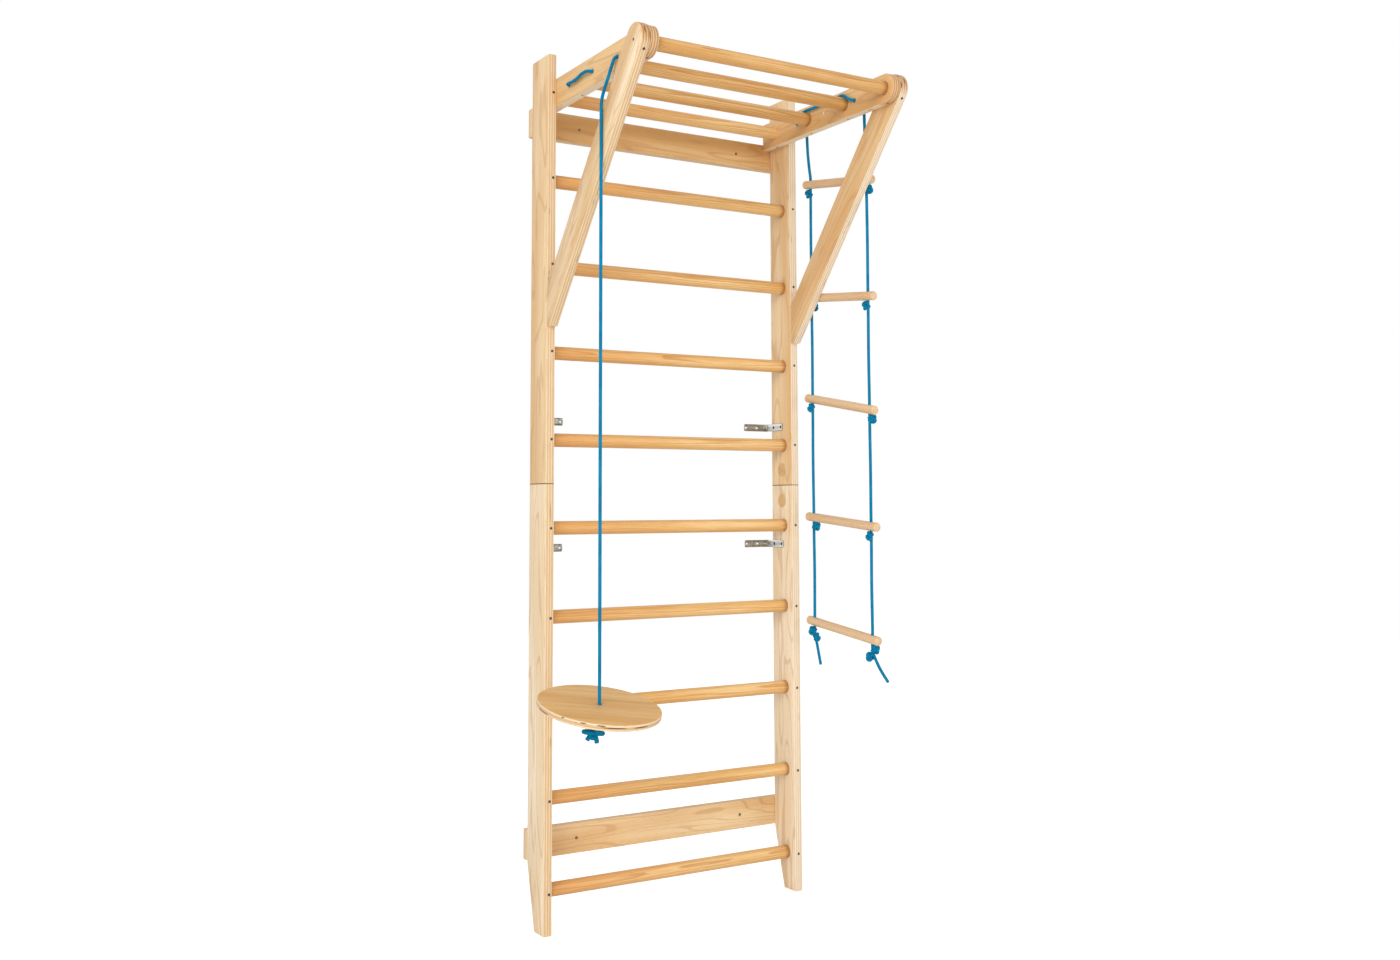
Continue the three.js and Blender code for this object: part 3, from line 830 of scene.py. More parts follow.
class Workbench:
    """Modelling by operators, with nothing else selected. Lengths are in metres.

    Attributes:
        NEAR, SAME: How near two places are that count as close, and as one.
        DRILL_SIDES, DRILL_EXCESS: Sides of a hole, and a drill's length beside the hole's reach.
    """

    NEAR = 1e-5
    SAME = 1e-6
    DRILL_SIDES = 24
    DRILL_EXCESS = 4

    @staticmethod
    def clear() -> None:
        """Leaves edit mode and deselects everything."""
        if bpy.context.object is not None and bpy.context.object.mode != "OBJECT":
            bpy.ops.object.mode_set(mode="OBJECT")
        bpy.ops.object.select_all(action="DESELECT")

    @classmethod
    def hold(cls, piece: Piece) -> None:
        """Makes one piece the only selected and the active one.

        Args:
            piece: The piece.
        """
        cls.clear()
        piece.select_set(True)
        bpy.context.view_layer.objects.active = piece

    @staticmethod
    def label(piece: Piece, name: str) -> None:
        """Names a piece and its mesh."""
        piece.name = name
        piece.data.name = name

    @classmethod
    def name(cls, name: str) -> Piece:
        """Names the new primitive and sets its place, turn and scale into its mesh.

        Args:
            name: The piece's name.

        Returns:
            The piece.
        """
        piece = bpy.context.object
        cls.label(piece, name)
        cls.hold(piece)
        bpy.ops.object.transform_apply(location=True, rotation=True, scale=True)
        return piece

    @classmethod
    def rod(
        cls,
        name: str,
        radius: float,
        length: float,
        sides: int,
        place: Spot = (0, 0, 0),
        turn: Place = (0, 0, 0),
    ) -> Piece:
        """Adds a round rod along Z, turned and placed.

        Args:
            name: The piece's name.
            radius: Its radius.
            length: Its length.
            sides: Sides of its section.
            place: Its middle.
            turn: Angles about X, Y and Z.

        Returns:
            The rod.
        """
        cls.clear()
        bpy.ops.mesh.primitive_cylinder_add(
            vertices=sides, radius=radius, depth=length, location=place, rotation=turn
        )
        return cls.name(name)

    @classmethod
    def drill(
        cls, name: str, radius: float, reach: float, place: Spot = (0, 0, 0), turn: Place = (0, 0, 0)
    ) -> Piece:
        """Adds a round rod along Z, turned and placed, to cut a hole with.

        Args:
            name: The piece's name.
            radius: The hole's radius.
            reach: How far the hole's ends are from its middle, at most. The rod goes on past them.
            place: The hole's middle.
            turn: Angles about X, Y and Z.

        Returns:
            The rod.
        """
        return cls.rod(name, radius, cls.DRILL_EXCESS * reach, cls.DRILL_SIDES, place, turn)

    @classmethod
    def cone(cls, name: str, radii: Pair, length: float, place: Spot, turn: Place) -> Piece:
        """Adds a cut-off cone along Z, turned and placed, to countersink a hole with.

        Args:
            name: The piece's name.
            radii: Radii of its low and high ends.
            length: Its length.
            place: Its middle.
            turn: Angles about X, Y and Z.

        Returns:
            The cone.
        """
        cls.clear()
        low, high = radii
        bpy.ops.mesh.primitive_cone_add(
            vertices=cls.DRILL_SIDES, radius1=low, radius2=high, depth=length, location=place, rotation=turn
        )
        return cls.name(name)

    @classmethod
    def at_ends(cls, half: float, reach: float = 1.0) -> CornerTest:
        """Makes a test for edges that lie in a piece's flat ends.

        Args:
            half: Height of the ends above and below the origin.
            reach: How far from the Z axis the edges may lie.

        Returns:
            The test.
        """

        def test(corners: Sequence[Vector]) -> bool:
            """Says whether all corners lie in the same end.

            Args:
                corners: The corners.

            Returns:
                Whether they do.
            """
            level = corners[0].z
            flat = all(abs(v.z - level) < cls.SAME and v.xy.length < reach for v in corners)
            return flat and abs(abs(level) - half) < cls.SAME

        return test

    @classmethod
    def pick(cls, piece: Piece, test: CornerTest, kind: Picked = Picked.EDGE) -> None:
        """Enters edit mode and selects what passes a test on its corners.

        Args:
            piece: The piece to edit.
            test: Says from a list of corners whether to select.
            kind: What is selected.
        """
        cls.hold(piece)
        bpy.ops.object.mode_set(mode="EDIT")
        bpy.ops.mesh.select_mode(type=kind.name)
        bpy.ops.mesh.select_all(action="DESELECT")
        mesh = bmesh.from_edit_mesh(piece.data)
        mesh.select_mode = {kind.name}
        for item in mesh.edges if kind is Picked.EDGE else mesh.verts:
            if test([v.co for v in item.verts] if kind is Picked.EDGE else [item.co]):
                item.select_set(True)
        mesh.select_flush_mode()
        bmesh.update_edit_mesh(piece.data)

    @classmethod
    def ease(
        cls, piece: Piece, test: CornerTest, size: float, steps: int, kind: Picked = Picked.EDGE
    ) -> None:
        """Rounds the edges or corners that pass a test.

        Args:
            piece: The piece to edit.
            test: Says from a list of corners whether to round.
            size: Size of the rounding.
            steps: Its segments.
            kind: What is rounded.
        """
        cls.pick(piece, test, kind)
        bpy.ops.mesh.bevel(offset=size, segments=steps, affect=kind.value, offset_type="OFFSET")
        bpy.ops.object.mode_set(mode="OBJECT")

    @classmethod
    def apply(cls, piece: Piece, modifier: bpy.types.Modifier) -> None:
        """Applies a piece's modifier."""
        cls.hold(piece)
        bpy.ops.object.modifier_apply(modifier=modifier.name)

    @classmethod
    def cut(cls, piece: Piece, cutter: Piece) -> None:
        """Cuts one piece out of another and removes the cutter.

        Args:
            piece: The piece that stays.
            cutter: The piece that is cut out of it.
        """
        modifier = piece.modifiers.new("cut", "BOOLEAN")
        modifier.operation = "DIFFERENCE"
        modifier.solver = "EXACT"
        modifier.object = cutter
        cls.apply(piece, modifier)
        cls.remove(cutter)

    @staticmethod
    def remove(piece: Piece) -> None:
        """Removes a piece that has served."""
        bpy.data.objects.remove(piece, do_unlink=True)

    @classmethod
    def smooth(cls, piece: Piece, angle: float = 35.0) -> None:
        """Shades a piece smooth, but for edges sharper than an angle in degrees."""
        cls.hold(piece)
        bpy.ops.object.shade_smooth_by_angle(angle=math.radians(angle))

    @classmethod
    def copy(cls, piece: Piece, name: str, place: Matrix) -> Piece:
        """Copies a piece with its own mesh.

        Args:
            piece: The piece to copy.
            name: The copy's name.
            place: Where the copy's mesh goes.

        Returns:
            The copy.
        """
        copied = piece.copy()
        copied.data = piece.data.copy()
        cls.label(copied, name)
        copied.data.transform(place)
        bpy.context.scene.collection.objects.link(copied)
        return copied

    @classmethod
    def join(cls, pieces: Sequence[Piece], name: str) -> Piece:
        """Joins pieces into one.

        Args:
            pieces: The pieces to join.
            name: The joined piece's name.

        Returns:
            The joined piece.
        """
        cls.hold(pieces[0])
        for piece in pieces:
            piece.select_set(True)
        bpy.ops.object.join()
        cls.label(pieces[0], name)
        return pieces[0]

    @staticmethod
    def dress(piece: Piece, material: Material, slot: str) -> None:
        """Gives a piece its material.

        Args:
            piece: The piece.
            material: Its material.
            slot: Not used.
        """
        piece.data.materials.clear()
        piece.data.materials.append(material)


@dataclass(frozen=True)
class Ring:
    """One ring of a rope: its middle, the directions across and along it, metres along, and its radius."""

    middle: Vector
    side: Vector
    front: Vector
    way: Vector
    along: float
    radius: float

    def beyond(self, out: float, share: float) -> "Ring":
        """Gives a ring that is further on by a share of the radius, and narrower.

        Args:
            out: How far on, in radii.
            share: The new ring's radius beside this one's.

        Returns:
            The ring.
        """
        step = self.radius * out
        middle, along = self.middle + self.way * step, self.along + step
        return Ring(middle, self.side, self.front, self.way, along, self.radius * share)


@dataclass(frozen=True)
class Tie:
    """An overhand knot, with its sizes in millimetres.

    Attributes:
        ring: Radius of the ring that its strands wind round.
        weave: How far they pass over and under it.
        thick: Their radius.
        seat: How far the knot's bulk sits into the rope.
        gap: Angle that its line leaves out at each end, in radians.
        steps: Stretches of its line.
    """

    ring: float = 5.6
    weave: float = 4.2
    thick: float = 4.3
    seat: float = 2.5
    gap: float = 0.10
    steps: int = 40


class RopeWork:
    """Ropes and knots as tubes along smooth lines, with a map for the braid.

    Attributes:
        RADIUS, SIDES, STEP: The rope's radius, the sides of its section and the distance of its rings.
        SPLITS, SHORTEST: Points between two given points of a line, and the shortest step that counts.
        END_RINGS, END_TIP: Distance and radius of the rings past an end, and distance of its tip, in radii.
    """

    RADIUS = 4.0 * MM
    SIDES = 16
    STEP = 4.0 * MM
    SPLITS = 24
    SHORTEST = 1e-5
    END_RINGS = ((0.30, 0.72), (0.12, 0.93))
    END_TIP = 0.34

    def __init__(self) -> None:
        """Makes the braid's material once."""
        self.material = BraidedRope().material()

    @classmethod
    def line(cls, points: Sequence[Vector]) -> list[Vector]:
        """Draws a smooth line through points, with even steps.

        Args:
            points: The points it passes.

        Returns:
            The line's points.
        """
        ends = [2 * points[0] - points[1], *points, 2 * points[-1] - points[-2]]
        dense: list[Vector] = []
        for before, start, end, after in zip(ends, ends[1:], ends[2:], ends[3:]):
            spans = ((before, start), (start, end), (end, after))
            first, mid, last = (max((b - a).length ** 0.5, cls.SHORTEST) for a, b in spans)
            out = ((start - before) / first - (end - before) / (first + mid) + (end - start) / mid) * mid
            into = ((end - start) / mid - (after - start) / (mid + last) + (after - end) / last) * mid
            for i in range(cls.SPLITS):
                t = i / cls.SPLITS
                dense.append(
                    start * (2 * t**3 - 3 * t**2 + 1)
                    + end * (3 * t**2 - 2 * t**3)
                    + out * (t**3 - 2 * t**2 + t)
                    + into * (t**3 - t**2)
                )
        dense.append(points[-1].copy())
        return cls._even(dense)

    @classmethod
    def _even(cls, dense: Sequence[Vector]) -> list[Vector]:
        """Takes points at even steps from a dense line.

        Args:
            dense: The dense line's points.

        Returns:
            The even points.
        """
        lengths = [(b - a).length for a, b in zip(dense, dense[1:])]
        total = sum(lengths)
        count = max(2, round(total / cls.STEP))
        even, index, walked = [dense[0].copy()], 0, 0.0
        for i in range(1, count):
            goal = total * i / count
            while walked + lengths[index] < goal:
                walked += lengths[index]
                index += 1
            even.append(dense[index].lerp(dense[index + 1], (goal - walked) / lengths[index]))
        even.append(dense[-1].copy())
        return even

    @staticmethod
    def length(line: Sequence[Vector]) -> float:
        """Measures a line in metres."""
        return sum((b - a).length for a, b in zip(line, line[1:]))

    def _rings(self, line: Sequence[Vector], radius: float) -> list[Ring]:
        """Sets rings along a line without twist, with narrower ones past its ends.

        Args:
            line: The points down the middle.
            radius: The radius in metres.

        Returns:
            The rings.
        """
        ways = [(b - a).normalized() for a, b in zip(line, line[1:])]
        ways = [ways[0], *((a + b).normalized() for a, b in zip(ways, ways[1:])), ways[-1]]
        side = ways[0].orthogonal().normalized()
        rings: list[Ring] = []
        along = 0.0
        for i, (point, way) in enumerate(zip(line, ways)):
            side = (side - way * side.dot(way)).normalized()
            along += (point - line[i - 1]).length if i else 0.0
            rings.append(Ring(point, side, way.cross(side), way, along, radius))
        head = [rings[0].beyond(-out, share) for out, share in self.END_RINGS]
        tail = [rings[-1].beyond(out, share) for out, share in reversed(self.END_RINGS)]
        return [*head, *rings, *tail]

    def tube(self, name: str, line: Sequence[Vector], radius: float = RADIUS) -> Piece:
        """Makes a closed tube with softly rounded ends along a line.

        Args:
            name: The piece's name.
            line: The points down its middle.
            radius: Its radius in metres.

        Returns:
            The tube.
        """
        rings, count = self._rings(line, radius), self.SIDES
        angles = [2 * math.pi * k / count for k in range(count)]
        corners = [
            ring.middle + (ring.side * math.cos(a) + ring.front * math.sin(a)) * ring.radius
            for ring in rings
            for a in angles
        ]
        final, start, end = len(corners) - count, len(corners), len(corners) + 1
        corners.append(line[0] - rings[0].way * radius * self.END_TIP)
        corners.append(line[-1] + rings[-1].way * radius * self.END_TIP)
        steps = [(k, (k + 1) % count) for k in range(count)]
        faces = [
            (low + k, low + after, low + count + after, low + count + k)
            for low in range(0, final, count)
            for k, after in steps
        ]
        faces += [(start, after, k) for k, after in steps]
        faces += [(end, final + k, final + after) for k, after in steps]
        mesh = bpy.data.meshes.new(name)
        mesh.from_pydata(corners, [], faces)
        self._map(mesh, rings)
        mesh.polygons.foreach_set("use_smooth", [True] * len(mesh.polygons))
        mesh.materials.append(self.material)
        piece = bpy.data.objects.new(name, mesh)
        bpy.context.scene.collection.objects.link(piece)
        return piece

    def _map(self, mesh: bpy.types.Mesh, rings: Sequence[Ring]) -> None:
        """Writes the map for the braid: metres along the rope, and turns round it.

        Args:
            mesh: The tube's mesh.
            rings: Its rings.
        """
        layer = mesh.uv_layers.new(name="braid")
        spans = len(rings) - 1
        for polygon in mesh.polygons:
            span, k = divmod(polygon.index, self.SIDES)
            if span < spans:
                low, high = rings[span].along, rings[span + 1].along
                values = ((low, k), (low, k + 1), (high, k + 1), (high, k))
            else:
                tip = rings[0 if span == spans else -1].along
                values = ((tip, k), (tip, k + 1), (tip, k))
            for loop, (along, turn) in zip(polygon.loop_indices, values):
                layer.data[loop].uv = (along, turn / self.SIDES)

    def knot(self, name: str, centre: Vector, rope_way: Vector, face: float, tie: Tie = Tie()) -> Piece:
        """Ties an overhand knot round a rope.

        Args:
            name: The piece's name.
            centre: The knot's middle, on the rope.
            rope_way: The way the rope runs.
            face: Angle of the knot's bulk round the rope, in degrees.
            tie: The knot's sizes.

        Returns:
            The knot.
        """
        up = rope_way.normalized()
        side = up.orthogonal().normalized()
        side.rotate(Matrix.Rotation(math.radians(face), 3, up))
        front = up.cross(side)
        middle = centre + side * (tie.ring + tie.weave - tie.seat) * MM
        points = []
        for i in range(tie.steps + 1):
            t = tie.gap + (2 * math.pi - 2 * tie.gap) * i / tie.steps
            reach = tie.ring + tie.weave * math.cos(3 * t)
            offset = -side * reach * math.cos(2 * t) + up * reach * math.sin(2 * t)
            points.append(middle + (offset + front * tie.weave * math.sin(3 * t)) * MM)
        return self.tube(name, self.line(points), tie.thick * MM)

    def declare(
        self, piece: Piece, line: Sequence[Vector], far_end: str, lay: str, with_pieces: Sequence[Piece] = ()
    ) -> None:
        """Measures a rope's line, and logs its name, its length and the number of its knots.

        Args:
            piece: The rope.
            line: The points down its middle, from its exit.
            far_end: Not used.
            lay: Not used.
            with_pieces: The knots on it.
        """
        self.length(line)
        LOG.info("laid %s, %.2f m, with %d knots", piece.name, self.length(line), len(with_pieces))


@dataclass
class DiscSwing:
    """The disc seat on a rope that is woven through the left arm. Sizes are in millimetres and degrees.

    Attributes:
        hang: The hanging rope's place to the side and in front.
        hang_heights: Heights that the hanging rope passes.
        free_z: Where the rope hangs free of the brace.
        side_pivot_z, split_z, fore_pivot_z: The two pivots, and where the rope is cut between them.
        bend: Length above the first pivot to a place on the rope that is worked out but not used.
        knot_turns: Height and facing of the two overhand turns under the disc.
        knot_across: The way that the knot's loop lies.
        loop: The loop's middle off the rope, its half width and its half depth.
        knot_ends: The knot's short ends and its wrap, each from across, behind and height.
        route: The woven rope, beside the arm.
        gaps: Angle, layer and length of gaps in the disc's edge.
    """

    rope: RopeWork
    diameter: float = 290.0
    sides: int = 96
    thickness: float = 15.0
    edge: float = 3.0
    edge_steps: int = 4
    hole: float = 13.0
    hole_edge: float = 1.2
    hole_steps: int = 3
    height: float = 594.0
    tilt: Pair = (12.0, 3.0)
    hang: Pair = (-393.6, -314.0)
    hang_heights: tuple[float, ...] = (1700, 1400, 1100, 800, 640)
    free_z: float = 1867.2
    side_pivot_z: float = 1862.9
    split_z: float = 1846.7
    fore_pivot_z: float = 1826.6
    bend: float = 18.0
    stopper: Place = (-22.5, -75, 0)
    stopper_face: float = 200.0
    stopper_tail: tuple[Place, ...] = ((-24, -75, 0), (-31, -72, 4), (-33, -63, 9), (-32, -50, 13))
    knot_turns: tuple[Pair, ...] = ((564.0, 20.0), (550.0, 190.0))
    knot_tie: Tie = Tie(8.2, 5.0, 4.8)
    knot_across: Place = (0.85, -0.53, 0.0)
    knot_thick: float = 5.4
    loop: Place = (-14.0, 22.0, 9.0)
    loop_z: float = 537.0
    loop_lean: float = 0.1
    loop_steps: int = 24
    knot_ends: tuple[tuple[Place, ...], ...] = (
        ((-14, -2, 536), (-19, -6, 532), (-24, -8, 527), (-27, -9, 522)),
        ((-13, -2, 536), (-9, -7, 530), (-6, -9, 523), (-5, -9, 516)),
        ((-21, -5, 529), (-14, -10, 526), (-7, -6, 530)),
    )
    route: tuple[Place, ...] = (
        (-16, -75, 0), (-8, -75, 0), (8, -75, 0), (15, -77, 0), (20, -83, -1), (22, -92, -2), (21, -115, -3),
        (20, -142, 0), (21, -168, 3), (22, -191, 2), (20, -200, 1), (15, -206, 0), (8, -208, 0),
        (-8, -208, 0), (-15, -210, 1), (-20, -216, 3), (-22, -226, 8), (-21, -262, 20), (-20, -298, 23),
        (-21, -312, 18), (-21, -322, 10), (-19, -332, 4), (-15, -339, 1), (-8, -341, 0), (8, -341, 0),
        (15, -341, -2), (20, -340, -8), (24, -337, -22), (30, -330.5, -50), (35.5, -322.5, -76),
        (39, -317, -96), (40.4, -314.4, -112), (40.6, -314, -130), (40.6, -314, -160),
    )
    grain_way: Place = (0.94, -0.34, 0.0)
    gaps: tuple[Place, ...] = (
        (-178, -3.5, 60), (-151, 4.5, 10), (-131, 4, 16), (-115, 4, 24), (-103, 0.5, 75), (-76, 0.5, 50),
        (40, -1, 60),
    )
    gap_height: float = 2.6
    gap_reach: float = 12.0

    def _on_rope(self, z: float) -> Vector:
        """Gives the hanging rope's place at a height above the floor."""
        return at(*self.hang, z)

    @property
    def _turn(self) -> Matrix:
        """How the disc is tilted."""
        about_x, about_y = (math.radians(a) for a in self.tilt)
        return Matrix.Rotation(about_x, 3, "X") @ Matrix.Rotation(about_y, 3, "Y")

    def build(self) -> None:
        """Builds the ropes, their knots and the disc."""
        self._woven_rope()
        self._hanging_rope()
        self._disc()

    def _woven_rope(self) -> None:
        """Lays the rope that is woven through the arm, as far as the place between the pivots."""
        start, end = self._on_rope(self.side_pivot_z + self.bend), self._on_rope(self.split_z)
        line = self.rope.line([*beside_arm(Side.LEFT, self.route), self._on_rope(self.free_z), end])
        piece = self.rope.tube("swing_line_arm", line)
        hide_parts("disc_rope_woven")
        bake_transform(piece)
        self.rope.declare(piece, line, "object", "taut", [self._stopper()])

    def _hanging_rope(self) -> None:
        """Lays the rope that hangs from there to the knot under the disc."""
        line = self.rope.line([self._on_rope(z) for z in (self.split_z, *self.hang_heights, self.loop_z)])
        piece = self.rope.tube("swing_line_disc", line)
        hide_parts("disc_rope_upper", "disc_rope_lower")
        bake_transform(piece)
        self.rope.declare(piece, line, "knot", "hanging", [self._disc_knot()])

    def _stopper(self) -> Piece:
        """Ties the knot that stops the rope on the arm's inner face.

        Returns:
            The knot.
        """
        centre = beside_arm(Side.LEFT, [self.stopper])[0]
        knot = self.rope.knot("swing_stopper_knot", centre, Axis.X.vector, self.stopper_face)
        tail = self.rope.tube("stopper_tail", self.rope.line(beside_arm(Side.LEFT, self.stopper_tail)))
        knot = Workbench.join([knot, tail], "swing_stopper_knot")
        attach(knot, "frame")
        return knot

    def _disc_knot(self) -> Piece:
        """Ties the bulky knot under the disc: two overhand turns, a loop below them and two wrapped ends.

        Returns:
            The knot.
        """
        across = Vector(self.knot_across)
        behind = Axis.Z.vector.cross(across)
        middle, half_width, half_depth = self.loop
        loop = []
        for i in range(self.loop_steps + 1):
            angle = 2 * math.pi * i / self.loop_steps
            along = half_width * math.cos(angle)
            loop.append((middle + along, half_depth * math.sin(angle), self.loop_z - self.loop_lean * along))
        pieces = [
            self.rope.knot(f"disc_knot_turn_{i}", self._on_rope(z), Axis.Z.vector, face, self.knot_tie)
            for i, (z, face) in enumerate(self.knot_turns)
        ]
        for i, places in enumerate((loop, *self.knot_ends)):
            line = self.rope.line([self._on_rope(z) + (across * a + behind * b) * MM for a, b, z in places])
            pieces.append(self.rope.tube(f"disc_knot_line_{i}", line, self.knot_thick * MM))
        knot = Workbench.join(pieces, "disc_knot")
        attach(knot, "swing_rope")
        return knot

    def _disc(self) -> None:
        """Models the disc with its rounded rim and eased hole, and tilts it."""
        radius, half, hole = self.diameter / 2 * MM, self.thickness / 2 * MM, self.hole / 2 * MM
        piece = Workbench.rod("disc_seat", radius, 2 * half, self.sides)
        Workbench.ease(piece, Workbench.at_ends(half), self.edge * MM, self.edge_steps)
        Workbench.cut(piece, Workbench.drill("disc_hole", hole, half))
        at_hole = Workbench.at_ends(half, hole + Workbench.NEAR)
        Workbench.ease(piece, at_hole, self.hole_edge * MM, self.hole_steps)
        Workbench.smooth(piece)
        turn, middle = self._turn, self._on_rope(self.height)
        piece.data.transform(Matrix.Translation(middle) @ turn.to_4x4())
        Workbench.dress(piece, self._plywood(turn, middle), "disc_plywood")
        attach(piece, "swing_disc")
        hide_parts("disc")
        LOG.info("built %s", piece.name)

    def _plywood(self, turn: Matrix, middle: Vector) -> Material:
        """Makes the disc's three-layer plywood, with gaps in its inner layer.

        Args:
            turn: How the disc is tilted.
            middle: The disc's middle.

        Returns:
            The material.
        """
        through = turn @ Axis.Z.vector
        voids = []
        for angle, layer, length in self.gaps:
            way = Vector((math.cos(math.radians(angle)), math.sin(math.radians(angle)), 0))
            spot = middle + turn @ (way * self.diameter / 2 + Axis.Z.vector * layer) * MM
            lie = Grain(spot, turn @ Axis.Z.vector.cross(way), through)
            voids.append(Void(lie, length, self.gap_height, self.gap_reach))
        finish = Plywood(
            "disc_ply",
            light="e7bc7b",
            dark="d9a661",
            line="bb884d",
            edge_light="efd6b0",
            edge_dark="c2935f",
            glue_line="7d4f27",
            gap="4a2a12",
            thickness=self.thickness * MM,
            plies=3,
            seed=11.0,
        )
        return finish.material(Grain(middle, turn @ Vector(self.grain_way).normalized(), through), voids)


@dataclass
class RopeLadder:
    """Round rungs on two knotted ropes that hang outside the right brace. Sizes are in millimetres.

    Attributes:
        ropes_y: The rear and the front rope's places.
        rear_z, front_z: Heights of the rungs at the two ropes, from the top.
        seat: From a rung's middle to the middle of the knot under it, square to the rung.
        bridge: The rope between the arm's two holes, beside the arm.
        tops: The ropes from the arm's holes to the top rung, beside the arm.
        tails: The ropes' ends below the last knot, back and up from it.
        bows: How far each stretch bows.
        leave, arrive: How far a stretch hangs straight below a knot and above a rung.
        bow_at: Where along a stretch the bow is.
        fold: Heights, up from the low end of the knot above it, given for a fold in a stretch; not used.
        top_fold: The same at the arm, out and up; not used.
        knot_drop, knot_step: From a knot's top to its middle, and to a second knot's middle from there.
        knot_face, knot_vary: Angle of the knots' bulk round the rope, and its steps from knot to knot.
    """

    rope: RopeWork
    x: float = 402.0
    ropes_y: Pair = (-53.0, -311.0)
    rear_z: tuple[float, ...] = (1963, 1638, 1352, 1022, 735)
    front_z: tuple[float, ...] = (1925, 1610, 1307, 999, 705)
    rung_diameter: float = 24.0
    rung_length: float = 312.0
    rung_sides: int = 40
    rung_round: float = 3.5
    round_steps: int = 4
    hole: float = 10.0
    seat: float = 23.3
    knot_radius: float = 11.0
    knot_height: float = 20.0
    end_knot_height: float = 38.0
    knot_drop: float = 12.5
    knot_step: float = 19.0
    knot_face: float = 103.0
    knot_vary: float = 24.0
    leave: float = 18.0
    arrive: float = 30.0
    bow_at: float = 0.45
    fold: Pair = (1.0, -26.0)
    top_fold: tuple[Pair, Pair] = ((11, 0), (18, -24))
    bridge: tuple[Place, ...] = (
        (11, -341, 0), (5, -341, 0), (-8, -341, 0), (-15, -339, 1), (-19, -332, 4), (-21, -322, 10),
        (-21, -312, 18), (-20, -298, 23), (-20, -270, 22.5), (-20, -213, 21.5), (-20, -156, 22.5),
        (-20, -128, 23), (-21, -112, 18), (-21, -97, 9), (-19, -85, 4), (-15, -77, 1), (-8, -75, 0),
        (5, -75, 0), (11, -75, 0),
    )
    tops: tuple[tuple[Place, ...], ...] = (
        (
            (-2, -75, 0), (5, -75, 0), (9.3, -75, -0.6), (13.4, -75, -2.2), (16.9, -75, -4.9),
            (19.6, -74.9, -8.5), (21.3, -74.6, -13), (24, -73, -31), (31.5, -66, -78),
            (43, -57, -122), (49, -53, -142),
        ),
        (
            (-2, -341, 0), (5, -341, 0), (9.3, -341, -0.6), (13.4, -341, -2.2), (16.9, -341, -4.9),
            (19.6, -340.8, -8.5), (21.3, -340.3, -13), (24, -337.5, -32), (30.5, -330.5, -74),
            (38.5, -323.5, -103), (43.5, -318.5, -127), (48, -312.5, -160), (49, -311, -178),
        ),
    )
    tails: tuple[tuple[Pair, ...], ...] = (
        ((-4, -14), (-12, -40), (-25, -83)),
        ((-8, -14), (-30, -42), (-61, -71)),
    )
    bows: tuple[tuple[float, ...], ...] = ((2.5, -2.0, 3.5, -3.5), (-2.0, 2.5, -2.0, 3.0))

    def _on(self, strand: Strand, z: float, back: float = 0.0, out: float = 0.0) -> Vector:
        """Gives a place on a hanging rope, or beside it, at a height above the floor."""
        return at(self.x + out, self.ropes_y[strand.value] + back, z)

    def _tilt(self, i: int) -> float:
        """Gives a rung's slope, from 0 for the top one."""
        return math.atan2(self.rear_z[i] - self.front_z[i], self.ropes_y[0] - self.ropes_y[1])

    def _knot_top(self, i: int, z: float) -> float:
        """Gives the height of the knot under a rung, from the height of the rung at that rope."""
        return z - (self.seat / math.cos(self._tilt(i)) - self.knot_radius)

    def build(self) -> None:
        """Builds the rungs, the ropes and their knots."""
        self._rungs()
        line = self.rope.line(beside_arm(Side.RIGHT, self.bridge))
        piece = self.rope.tube("ladder_line_bridge", line)
        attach(piece, "frame")
        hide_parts("ladder_rope_bridge")
        self.rope.declare(piece, line, "object", "taut")
        for strand in Strand:
            self._hang(strand)

    def _rungs(self) -> None:
        """Models one rung with round ends and two rope holes, and copies it to its places."""
        radius, half = self.rung_diameter / 2 * MM, self.rung_length / 2 * MM
        model = Workbench.rod("ladder_rung_model", radius, 2 * half, self.rung_sides)
        Workbench.ease(model, Workbench.at_ends(half), self.rung_round * MM, self.round_steps)
        spacing = (self.ropes_y[0] - self.ropes_y[1]) / 2 * MM
        for offset in (-spacing, spacing):
            place, turn = (0, 0, offset), (math.pi / 2, 0, 0)
            Workbench.cut(model, Workbench.drill("rope_hole", self.hole / 2 * MM, radius, place, turn))
        Workbench.smooth(model)
        beech = Dowel("ladder_beech", "e9cba3", "dfb98e", "c09465", ring=0.0032, slant=0.8, fleck=0.45)
        for i, (rear, front) in enumerate(zip(self.rear_z, self.front_z)):
            tilt = Matrix.Rotation(self._tilt(i), 4, "X")
            lay = tilt @ Matrix.Rotation(-math.pi / 2, 4, "X")
            middle = at(self.x, sum(self.ropes_y) / 2, (rear + front) / 2)
            piece = Workbench.copy(model, f"ladder_bar_{i + 1}", Matrix.Translation(middle) @ lay)
            Workbench.dress(piece, beech.material(tilt.to_3x3() @ Axis.Y.vector), "ladder_wood")
            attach(piece, f"ladder_{i + 1}")
            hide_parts(f"ladder_rung_{i + 1}")
            LOG.info("built %s", piece.name)
        Workbench.remove(model)

